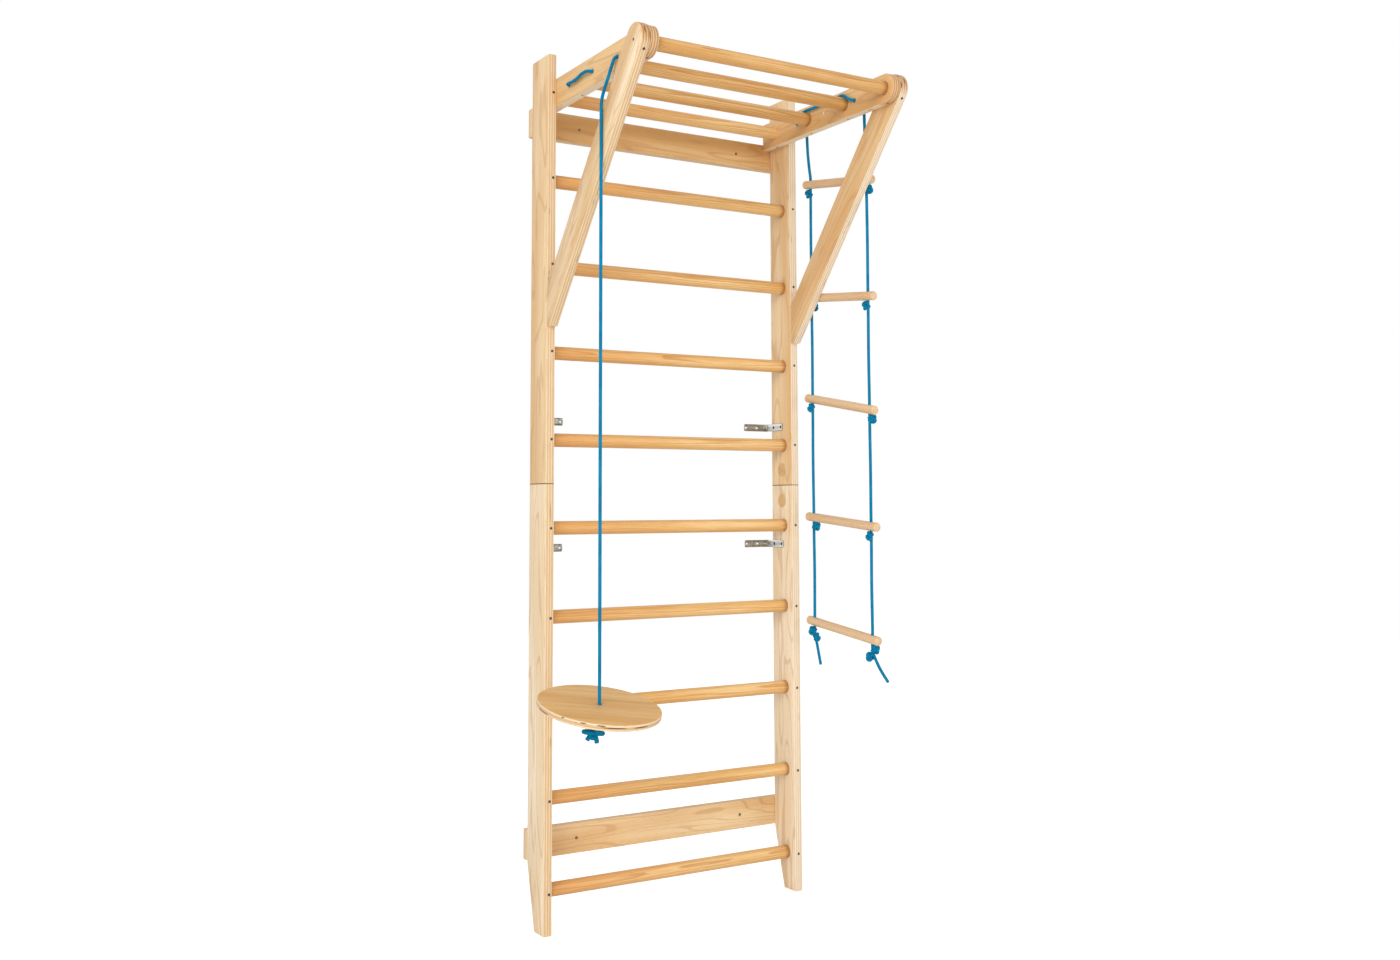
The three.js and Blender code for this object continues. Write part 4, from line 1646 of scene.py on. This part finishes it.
    def _hang(self, strand: Strand) -> None:
        """Lays one rope, a stretch for each rung, with the knots that carry the rungs.

        Args:
            strand: The rope.
        """
        heights = self.rear_z if strand is Strand.REAR else self.front_z
        below = 0.0
        for i, z in enumerate(heights):
            last = i == len(heights) - 1
            top = self._knot_top(i, z)
            middle = top - (self.end_knot_height if last else self.knot_height) / 2
            points = [*self._stretch(strand, i, below, z), self._on(strand, middle)]
            if last:
                points += [self._on(strand, middle + up, back) for back, up in self.tails[strand.value]]
            line = self.rope.line(points)
            piece = self.rope.tube(f"ladder_line_{strand.word}_{i + 1}", line)
            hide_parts(f"ladder_rope_{strand.word}_{i + 1}")
            if i == 0:
                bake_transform(piece)
            else:
                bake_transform(piece)
            knots = [self._knot(strand, i, top, k) for k in range(2 if last else 1)]
            self.rope.declare(piece, line, "bare" if last else "object", "hanging", knots)
            below = top - self.knot_height

    def _stretch(self, strand: Strand, i: int, below: float, z: float) -> list[Vector]:
        """Routes the stretch of a rope that leads to a rung.

        Args:
            strand: The rope.
            i: The rung's number from 0.
            below: Height of the low end of the knot above.
            z: Height of the rung at this rope.

        Returns:
            The stretch's points, as far as the rung.
        """
        if i == 0:
            return beside_arm(Side.RIGHT, self.tops[strand.value])
        bow = self.bows[strand.value][i - 1]
        return [
            self._on(strand, below + self.knot_height / 2),
            self._on(strand, below - self.leave),
            self._on(strand, below - self.bow_at * (below - z), bow, bow / 2),
            self._on(strand, z + self.arrive),
        ]

    def _knot(self, strand: Strand, i: int, top: float, k: int) -> Piece:
        """Ties a knot under a rung, each turned another way.

        Args:
            strand: The rope.
            i: The rung's number from 0.
            top: Height of the first knot's top.
            k: 0 for the first knot and 1 for one below it.

        Returns:
            The knot.
        """
        number = strand.value
        centre = self._on(strand, top - self.knot_drop - self.knot_step * k)
        vary = (2 * i + 3 * number + k) % 5 - 2
        face = self.knot_face + self.knot_vary * vary + 180 * ((i + number + k) % 2)
        knot = self.rope.knot(f"ladder_knot_{strand.word}_{i + 1}_{k}", centre, Axis.Z.vector, face)
        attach(knot, f"ladder_{i + 1}")
        return knot


@dataclass
class Timbers:
    """The frame's boards, rungs, plugs and rods, which keep their solids and get their finishes.

    Attributes:
        facet_angle: Facets that meet at less than this, in degrees, are shaded as one.
        weld_gap: Corners this near, in metres, count as one.
        seeds: Which part of the veneer's figure the boards of the left and the right show.
        arm_seed, brace_seed: Steps from there to the arm's and the brace's part.
        edge_tones: Light and dark tone of the left and the right boards' edges.
        upright_tones, batten_tones: Light and dark tone of the lower and the upper one.
        brace_tones: Light and dark tone of the left and the right brace.
        upright_gaps: Layer off the middle plane, height and length of gaps, in millimetres.
        arm_gap: Layer, place in front, length and height of a gap in the arm's low edge.
        head_slits: Turn round a brace's head in degrees, layer inwards, length and height of gaps in its rim.
        brace_gaps: Distance down from a brace's head, layer and length of gaps in its front edge.
        rung_fade: Where along the wall rungs a painted shade starts to deepen towards the left end, and where
            it is deepest, in metres.
    """

    facet_angle: float = 32.0
    weld_gap: float = 0.00002
    seeds: Pair = (0.7, 5.9)
    arm_seed: float = 2.0
    brace_seed: float = 3.0
    batten_seeds: Pair = (3.1, 5.4)
    batten_figure: float = 0.30
    edge_tones: tuple[Tones, Tones] = (("ecd3ad", "cb9d68"), ("f3e2c8", "d9b88d"))
    upright_tones: tuple[Tones, Tones] = (("f6e3c7", "eacfa7"), ("edd1a6", "deb683"))
    batten_tones: tuple[Tones, Tones] = (("efd1a3", "e0b680"), ("e8c189", "d4a467"))
    brace_tones: tuple[Tones, Tones] = (("f4dfbd", "d8b07c"), ("e5c596", "d6aa73"))
    upright_gaps: tuple[Place, ...] = ((-5.1, 1811, 24), (-5.1, 1652, 14), (1.7, 1040, 60), (5.1, 470, 30))
    arm_gap: tuple[float, ...] = (-2.7, -395, 26, 2.8)
    arm_end_grain: Pair = (-0.430, -0.470)
    head_slits: tuple[tuple[float, ...], ...] = (
        (44, 11.4, 26, 5), (62, -2.7, 26, 2.4), (96, 10.6, 34, 3.6), (118, 2.7, 16, 2.4),
    )
    brace_gaps: tuple[Place, ...] = ((374, 2.0, 26), (402, -1.5, 16), (560, 5.1, 30))
    brace_end_grain: Pair = (0.0, 0.03)
    rung_fade: Pair = (0.15, -0.42)
    plug_ring: float = 0.003

    def soften(self, name: str) -> Piece:
        """Shades a solid smooth across its small facets.

        Args:
            name: The solid's name.

        Returns:
            Its object.
        """
        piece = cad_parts[name]
        Workbench.hold(piece)
        bpy.ops.mesh.customdata_custom_splitnormals_clear()
        piece.data.polygons.foreach_set("use_smooth", [True] * len(piece.data.polygons))
        weld = piece.modifiers.new("weld", "WELD")
        weld.merge_threshold = self.weld_gap
        split = piece.modifiers.new("split", "EDGE_SPLIT")
        split.split_angle = math.radians(self.facet_angle)
        split.use_edge_sharp = False
        return piece

    def dress(self) -> None:
        """Gives every solid of the frame its finish."""
        for side in Side:
            self._uprights(side)
            self._arm(side)
            self._brace(side)
            self._joint(side)
        self._battens()
        self._rungs()

    def _board(self, name: str, finish: Plywood, grain: Grain, voids: Sequence[Void] = ()) -> None:
        """Gives one board its plywood.

        Args:
            name: The board's name.
            finish: Its plywood.
            grain: How it lies.
            voids: Gaps on its edges.
        """
        Workbench.dress(self.soften(name), finish.material(grain, voids), "plywood")
        LOG.info("dressed %s", name)

    def _contact(self, side: Side) -> tuple[Axis, float]:
        """Gives the plane where the arm and the brace of a side meet."""
        return Axis.X, side.value * SIZES.inner_x * MM

    def _uprights(self, side: Side) -> None:
        """Gives the two halves of an upright their plywood.

        Args:
            side: The upright's side.
        """
        s = SIZES
        x = side.value * s.upright_x
        edge_light, edge_dark = side.pick(self.edge_tones)
        gaps = [
            Void(Grain(at(x + layer, 0, z), Axis.Z.vector, Axis.X.vector), length)
            for layer, z, length in self.upright_gaps
        ]
        for half in Half:
            finish = Plywood(
                f"upright_ply_{side.word}_{half.word}",
                *self.upright_tones[half.value],
                edge_light=edge_light,
                edge_dark=edge_dark,
                seed=side.pick(self.seeds) + half.value,
                seam=(Axis.Z, at(0, 0, s.seam_z).z),
            )
            grain = Grain(at(x, s.depth / 2, 0), Axis.Z.vector, Axis.X.vector)
            self._board(f"upright_{side.word}_{half.word}", finish, grain, gaps)

    def _arm(self, side: Side) -> None:
        """Gives an arm its plywood.

        Args:
            side: The arm's side.
        """
        s = SIZES
        x = side.value * s.arm_x
        layer, y, length, height = self.arm_gap
        gap = Void(Grain(at(x + layer, y, s.arm_low_z), Axis.Y.vector, Axis.X.vector), length, height)
        finish = Plywood(
            f"arm_ply_{side.word}",
            light="e8c28c",
            dark="d8a86e",
            edge_light="f7e8ce",
            edge_dark="e3c295",
            glue_line="a8713d",
            seed=side.pick(self.seeds) + self.arm_seed,
            seam=self._contact(side),
            end_grain=self.arm_end_grain,
        )
        grain = Grain(at(x, 0, s.top_rung_z), Axis.Y.vector, Axis.X.vector)
        self._board(f"arm_{side.word}", finish, grain, [gap])

    def _brace(self, side: Side) -> None:
        """Gives a brace its plywood, with gaps round its head and down its front edge.

        Args:
            side: The brace's side.
        """
        s = SIZES
        across, up = Axis.X.vector, s.brace_up
        head, half_width = at(side.value * s.upright_x, s.head_y, s.top_rung_z), s.brace_width / 2
        gaps = []
        for turn, inwards, length, height in self.head_slits:
            way = s.brace_front
            way.rotate(Matrix.Rotation(math.radians(-turn), 3, "X"))
            rim = head + (way * half_width - across * side.value * inwards) * MM
            gaps.append(Void(Grain(rim, across.cross(way), across), length, height))
        for down, layer, length in self.brace_gaps:
            edge = head + (s.brace_front * half_width - up * down + across * layer) * MM
            gaps.append(Void(Grain(edge, up, across), length))
        edge_light, edge_dark = side.pick(self.edge_tones)
        finish = Plywood(
            f"brace_ply_{side.word}",
            *side.pick(self.brace_tones),
            edge_light=edge_light,
            edge_dark=edge_dark,
            seed=side.pick(self.seeds) + self.brace_seed,
            seam=self._contact(side),
            end_grain=self.brace_end_grain,
        )
        self._board(f"brace_{side.word}", finish, Grain(head, up, across), gaps)

    def _joint(self, side: Side) -> None:
        """Gives the plugs and the rod of an upright's joint their finishes.

        Args:
            side: The upright's side.
        """
        wood = Dowel(f"plug_wood_{side.word}", "e1b880", "d3a66c", "b98650", ring=self.plug_ring)
        material = wood.material(Axis.X.vector)
        for half in Half:
            Workbench.dress(self.soften(f"joint_plug_{side.word}_{half.word}"), material, "plug_wood")
        zinc = Zinc(f"rod_zinc_{side.word}").material()
        Workbench.dress(self.soften(f"joint_rod_{side.word}"), zinc, "zinc")
        LOG.info("dressed the plugs and rod of the %s joint", side.word)

    def _battens(self) -> None:
        """Gives the two battens their plywood."""
        for half in Half:
            finish = Plywood(
                f"batten_ply_{half.word}",
                *self.batten_tones[half.value],
                line="b27b42",
                seed=self.batten_seeds[half.value],
                figure=self.batten_figure,
            )
            middle = at(0, SIZES.wall_y - SIZES.board / 2, SIZES.batten_z(half))
            self._board(f"batten_{half.word}", finish, Grain(middle, Axis.X.vector, Axis.Y.vector))

    def _rungs(self) -> None:
        """Gives the rungs their pine, with painted shade where they enter the boards and, on the wall rungs,
        towards the left end.
        """
        s = SIZES
        # Both pines carry painted shade where they enter the boards; the wall pine also darkens towards the
        # left end as painted shade.
        wall = Dowel("wall_pine", "f0c88a", "e3b069", "c08040", end=s.inner_x * MM, fade=self.rung_fade)
        overhead = Dowel("overhead_pine", "e4b777", "d59f59", "b17434", end=(s.arm_x - s.board / 2) * MM)
        wall_names = [f"wall_rung_{i + 1:02d}" for i in range(s.rung_count)]
        overhead_names = [f"overhead_rung_{i + 1}" for i in range(s.overhead_count)]
        for pine, names in ((wall, wall_names), (overhead, overhead_names)):
            material = pine.material(Axis.X.vector)
            for name in names:
                Workbench.dress(self.soften(name), material, "rung_wood")
                LOG.info("dressed %s", name)


@dataclass
class Screws:
    """Cross-head screws: modelled once and copied to every place that shows one. Sizes are in millimetres.

    Attributes:
        head, rise: The head's radius, and how far it stands out.
        crown: Its rounded edge, beside the radius.
        slot: The blocks that cut the cross: length and width beside the radius, height beside the rise.
        turn_step: Angle from one screw's cross to the next one's, in radians.
        rung_inset: From the left and the right upright's inner face to the rungs' screws.
        brace_down: From the middle of a brace's head to the screw in its front edge.
        batten_x, batten_set: Places of the battens' screws to both sides, and how deep they sit.
        arm_scale, batten_scale: Those screws' sizes beside the model.
        spangle: Spangles in a metre on the screws.
        groups: Place, facing and scale of the screws in each piece.
    """

    head: float = 3.7
    rise: float = 0.7
    sides: int = 24
    crown: float = 0.28
    crown_steps: int = 3
    slot: Place = (1.25, 0.26, 1.3)
    turn_step: float = 0.6
    rung_inset: Pair = (8.0, 12.0)
    brace_down: float = 4.0
    batten_x: float = 250.0
    batten_set: float = 1.6
    arm_scale: float = 0.85
    batten_scale: float = 1.05
    spangle: float = 500.0
    groups: dict[str, list[tuple[Vector, Vector, float]]] = field(default_factory=dict)

    def _model(self) -> Piece:
        """Models one screw's head at the origin, facing up.

        Returns:
            The head.
        """
        head, rise = self.head * MM, self.rise * MM
        length, width, height = self.slot
        piece = Workbench.rod("screw_head", head, 2 * rise, self.sides)
        top = rise - Workbench.NEAR
        Workbench.ease(piece, lambda c: all(v.z > top for v in c), self.crown * head, self.crown_steps)
        for turn in (0.0, math.pi / 2):
            Workbench.clear()
            bpy.ops.mesh.primitive_cube_add(size=1, location=(0, 0, rise), rotation=(0, 0, turn))
            bpy.context.object.scale = (length * head, width * head, height * rise)
            Workbench.cut(piece, Workbench.name("screw_slot"))
        Workbench.smooth(piece)
        return piece

    def place(self, group: str, spot: Vector, facing: Vector, scale: float = 1.0) -> None:
        """Notes one screw's place.

        Args:
            group: The piece that it becomes a part of.
            spot: Where its head sits.
            facing: The way its head faces.
            scale: Its size beside the model.
        """
        self.groups.setdefault(group, []).append((spot, facing, scale))

    def plan(self) -> None:
        """Notes the screws of the rungs, arms, braces and battens."""
        s = SIZES
        room, down = -Axis.Y.vector, -Axis.Z.vector
        for side in Side:
            x = side.value * (s.inner_x + side.pick(self.rung_inset))
            for i in range(s.rung_count):
                self.place(f"rung_screws_{side.word}", at(x, 0, s.low_rung_z + i * s.rung_pitch), room)
            for i in range(s.overhead_count + 1):
                spot = at(side.value * s.arm_x, s.rung_setback - i * s.overhead_pitch, s.arm_low_z)
                self.place(f"arm_screws_{side.word}", spot, down, self.arm_scale)
            outer = at(side.value * (s.inner_x + s.board), s.head_y, s.top_rung_z)
            self.place(f"brace_screws_{side.word}", outer, Axis.X.vector * side.value)
            head = at(side.value * s.upright_x, s.head_y, s.top_rung_z)
            edge = head + (s.brace_front * s.brace_width / 2 - s.brace_up * self.brace_down) * MM
            self.place(f"brace_screws_{side.word}", edge, s.brace_front)
        for half in Half:
            for x in (-self.batten_x, self.batten_x):
                spot = at(x, s.depth + self.batten_set, s.batten_z(half))
                self.place("batten_screws", spot, room, self.batten_scale)

    def build(self) -> None:
        """Copies the screw to its places and joins each group in its finish."""
        model = self._model()
        plain = Zinc("screw_zinc", "6d6459", "453d34", self.spangle).material()
        finishes = {
            "batten_screws": Zinc("screw_yellow", "a98a5f", "75593a", self.spangle).material(),
            "bracket_screws": Zinc("screw_black", "1a1816", "0d0c0b", self.spangle).material(),
        }
        for group, places in self.groups.items():
            copies = []
            for number, (spot, facing, scale) in enumerate(places):
                cross = Matrix.Rotation(self.turn_step * number, 3, "Z")
                turn = facing.to_track_quat("Z", "Y").to_matrix() @ cross
                matrix = Matrix.Translation(spot) @ turn.to_4x4() @ Matrix.Scale(scale, 4)
                copies.append(Workbench.copy(model, f"{group}_{number}", matrix))
            piece = Workbench.join(copies, group)
            Workbench.dress(piece, finishes.get(group, plain), "zinc")
            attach(piece, "frame")
            LOG.info("built %s with %d screws", group, len(places))
        Workbench.remove(model)


@dataclass
class WallBrackets:
    """Angle brackets on the uprights' inner faces, with a free leg along the wall. Sizes are in millimetres.

    Attributes:
        leg, width, sheet: Length and width of a leg, and the sheet's thickness.
        bend, tip, edge: Rounding of the bend, of the legs' corners and of the sheet's edges.
        edge_angle: Edges sharper than this, in degrees, are rounded, as far as the shortest edges allow.
        holes, hole, sink: Places of the holes along a leg, their width and the width of their countersinks.
        sink_depth, sink_at: Length of a countersink and depth of its middle, in thicknesses of the sheet.
        screw_set, screw_scale: How deep the screws sit, and their size beside the model.
        heights: Heights of the lower and the upper brackets.
    """

    leg: float = 80.0
    width: float = 20.0
    sheet: float = 2.5
    bend: float = 4.0
    tip: float = 4.0
    round_steps: int = 5
    edge: float = 0.35
    edge_steps: int = 2
    edge_angle: float = 50.0
    holes: Pair = (37.0, 73.0)
    hole: float = 5.5
    sink: float = 9.5
    sink_depth: float = 0.9
    sink_at: float = 0.88
    screw_set: float = 0.35
    screw_scale: float = 1.12
    heights: Pair = (947.0, 1278.0)
    # Painted reflection: the faces that look along X are paler.
    finish: Zinc = Zinc("bracket_zinc", "b3b0a6", "85827a", bright=(Axis.X, "f2f4f2"))

    def _strip(self) -> Piece:
        """Models the bent strip without thickness: along -X, then down along -Z, with eased corners.

        Returns:
            The strip.
        """
        leg, near = self.leg * MM, Workbench.NEAR
        Workbench.clear()
        bpy.ops.mesh.primitive_plane_add(size=1, location=(-leg / 2, 0, 0))
        bpy.context.object.scale = (leg, self.width * MM, 1)
        piece = Workbench.name("bracket_model")
        Workbench.pick(piece, lambda c: all(abs(v.x) < near for v in c))
        bpy.ops.mesh.extrude_region_move(TRANSFORM_OT_translate={"value": (0, 0, -leg)})
        bpy.ops.object.mode_set(mode="OBJECT")
        steps = self.round_steps
        Workbench.ease(piece, lambda c: all(v.xz.length < near for v in c), self.bend * MM, steps)
        Workbench.ease(piece, lambda c: min(c[0].xz) < near - leg, self.tip * MM, steps, Picked.VERT)
        Workbench.hold(piece)
        bpy.ops.object.mode_set(mode="EDIT")
        bpy.ops.mesh.select_all(action="SELECT")
        bpy.ops.mesh.normals_make_consistent(inside=False)
        bpy.ops.object.mode_set(mode="OBJECT")
        return piece

    def _drill(self, piece: Piece, spot: Vector, depth: Vector, turn: Place) -> None:
        """Drills a hole through a leg and countersinks it from the inner side.

        Args:
            piece: The bracket.
            spot: The hole's middle on the outer face.
            depth: From there through the sheet.
            turn: How a rod along Z turns to lie in the hole.
        """
        radius, middle = self.hole / 2 * MM, spot + depth / 2
        Workbench.cut(piece, Workbench.drill("bracket_hole", radius, depth.length, middle, turn))
        radii, length = (self.sink / 2 * MM, radius), self.sink_depth * depth.length
        middle = spot + depth * self.sink_at
        Workbench.cut(piece, Workbench.cone("bracket_sink", radii, length, middle, turn))

    def _model(self) -> Piece:
        """Models one bracket, with its outer faces at 0.

        Returns:
            The bracket.
        """
        piece = self._strip()
        outwards = sum(p.normal.z * p.area for p in piece.data.polygons) > 0
        wall = piece.modifiers.new("wall", "SOLIDIFY")
        wall.thickness = self.sheet * MM
        wall.offset = -1.0 if outwards else 1.0
        Workbench.apply(piece, wall)
        back, down = -Axis.X.vector * MM, -Axis.Z.vector * MM
        for along in self.holes:
            self._drill(piece, back * along, down * self.sheet, (0, 0, 0))
            self._drill(piece, down * along, back * self.sheet, (0, math.pi / 2, 0))
        edge = piece.modifiers.new("edge", "BEVEL")
        edge.width = self.edge * MM
        edge.segments = self.edge_steps
        edge.limit_method = "ANGLE"
        edge.angle_limit = math.radians(self.edge_angle)
        Workbench.apply(piece, edge)
        Workbench.smooth(piece)
        return piece

    def build(self, screws: Screws) -> None:
        """Copies the bracket to its four places and notes its screws.

        Args:
            screws: Where screws are noted.
        """
        model, material = self._model(), self.finish.material()
        stand = Matrix(((1, 0, 0, 0), (0, 0, 1, 0), (0, -1, 0, 0), (0, 0, 0, 1)))
        for side in Side:
            turn = Matrix.Identity(4) if side is Side.RIGHT else Matrix.Rotation(math.pi, 4, "Y")
            inwards = Axis.X.vector * -side.value
            for half in Half:
                corner = at(side.value * SIZES.inner_x, SIZES.wall_y, self.heights[half.value])
                place = Matrix.Translation(corner) @ turn @ stand
                piece = Workbench.copy(model, f"angle_bracket_{side.word}_{half.word}", place)
                Workbench.dress(piece, material, "zinc")
                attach(piece, "frame")
                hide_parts(f"bracket_{side.word}_{half.word}")
                for along in self.holes:
                    spot = corner + (inwards * (self.sheet - self.screw_set) - Axis.Y.vector * along) * MM
                    screws.place("bracket_screws", spot, inwards, self.screw_scale)
                LOG.info("built %s", piece.name)
        Workbench.remove(model)


@dataclass(frozen=True)
class Lamp:
    """A soft square lamp: its place in millimetres, its power in watts and its width in metres."""

    name: str
    place: Place
    power: float
    size: float


@dataclass
class Studio:
    """A pale floor, soft lights and the photograph's camera.

    Attributes:
        eye: The camera's place in millimetres.
        right, down: The ways to the right and down in its picture.
        focal_px, centre_px, image_px: Focal length, optical centre and size of the photograph in pixels.
        sensor: Width of the camera's sensor in millimetres.
        aim: What the lamps face, in millimetres.
        light, seen: Strength of the surround as light, and as a background.
        floor_size, floor_at, floor_glow: Width in metres, middle in millimetres, and its glow for the camera.
    """

    eye: Place = (-1855.0, -3218.5, 1051.5)
    right: Place = (0.8502, -0.5265, -0.0047)
    down: Place = (0.0411, 0.0752, -0.9963)
    focal_px: float = 1386.75
    centre_px: Pair = (723.3, 387.9)
    image_px: Pair = (1400.0, 960.0)
    sensor: float = 36.0
    lamps: tuple[Lamp, ...] = (
        Lamp("key", (-6200, -5200, 4000), 345, 4.8),
        Lamp("fill", (3600, -3400, 1800), 42, 3.0),
        Lamp("low", (-500, -2300, 80), 13, 1.6),
    )
    aim: Place = (0, -150, 1100)
    light: float = 0.6
    seen: float = 1.0
    floor_size: float = 16.0
    floor_at: Place = (0, -500, -0.5)
    floor_tones: Tones = ("f6f6f5", "f2f2f1")
    floor_speck: Cloud = Cloud((40.0, 40.0, 40.0), 2.0)
    floor_roughness: float = 0.85
    floor_relief: Relief = Relief(0.0002, 0.1)
    floor_glow: float = 0.5

    def camera(self) -> None:
        """Sets the camera where the photograph was taken from."""
        data = bpy.data.cameras.new("camera")
        width, height = self.image_px
        data.sensor_width = self.sensor
        data.lens = self.sensor * self.focal_px / width
        data.shift_x = (width / 2 - self.centre_px[0]) / width
        data.shift_y = (self.centre_px[1] - height / 2) / width
        right = Vector(self.right)
        back = Vector(self.down).cross(right).normalized()
        up = back.cross(right).normalized()
        turn = Matrix((right.normalized(), up, back)).transposed()
        camera = bpy.data.objects.new("camera", data)
        camera.matrix_world = Matrix.Translation(at(*self.eye)) @ turn.to_4x4()
        bpy.context.scene.collection.objects.link(camera)
        bpy.context.scene.camera = camera

    def lights(self) -> None:
        """Sets the lamps, facing the middle of the object."""
        for lamp in self.lamps:
            data = bpy.data.lights.new(lamp.name, "AREA")
            data.energy = lamp.power
            data.size = lamp.size
            place = at(*lamp.place)
            turn = (at(*self.aim) - place).to_track_quat("-Z", "Y").to_matrix()
            placed = bpy.data.objects.new(lamp.name, data)
            placed.matrix_world = Matrix.Translation(place) @ turn.to_4x4()
            bpy.context.scene.collection.objects.link(placed)

    def surround(self) -> None:
        """Sets a white surround that lights the object less than it shows."""
        world = bpy.data.worlds.new("surround")
        bpy.context.scene.world = world
        world.use_nodes = True
        tree = world.node_tree
        path = tree.nodes.new("ShaderNodeLightPath")
        seen = path.outputs["Is Camera Ray"]
        for name in ("Is Glossy Ray", "Is Transmission Ray"):
            either = tree.nodes.new("ShaderNodeMath")
            either.operation = "MAXIMUM"
            tree.links.new(seen, either.inputs[0])
            tree.links.new(path.outputs[name], either.inputs[1])
            seen = either.outputs[0]
        strength = tree.nodes.new("ShaderNodeMapRange")
        strength.inputs["To Min"].default_value = self.light
        strength.inputs["To Max"].default_value = self.seen
        tree.links.new(seen, strength.inputs["Value"])
        background = next(n for n in tree.nodes if n.type == "BACKGROUND")
        background.inputs["Color"].default_value = (1.0, 1.0, 1.0, 1.0)
        tree.links.new(strength.outputs["Result"], background.inputs["Strength"])

    def floor(self) -> None:
        """Lays a plain pale floor that fades into the surround."""
        Workbench.clear()
        bpy.ops.mesh.primitive_plane_add(size=self.floor_size, location=at(*self.floor_at))
        floor = Workbench.name("studio_floor")
        bench = NodeBench("pale_floor")
        speck = bench.noise(bench.coordinates("Object"), self.floor_speck)
        bench.finish(bench.mix(speck, *self.floor_tones), self.floor_roughness, speck, self.floor_relief)
        bench.set("Emission Color", (1.0, 1.0, 1.0, 1.0))
        seen = bench.add("LightPath").outputs["Is Camera Ray"]
        bench.set("Emission Strength", bench.times(seen, self.floor_glow))
        floor.data.materials.append(bench.material)

    def build(self) -> None:
        """Builds the whole studio."""
        self.camera()
        self.lights()
        self.surround()
        self.floor()
        bpy.context.scene.view_settings.view_transform = "Standard"


def main() -> None:
    """Builds the studio and the object's sub-assemblies."""
    logging.basicConfig(level=logging.INFO, format="%(name)s: %(message)s")
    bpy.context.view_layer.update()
    Studio().build()
    rope = RopeWork()
    DiscSwing(rope).build()
    RopeLadder(rope).build()
    Timbers().dress()
    screws = Screws()
    screws.plan()
    WallBrackets().build(screws)
    screws.build()


if __name__ == "__main__":
    main()
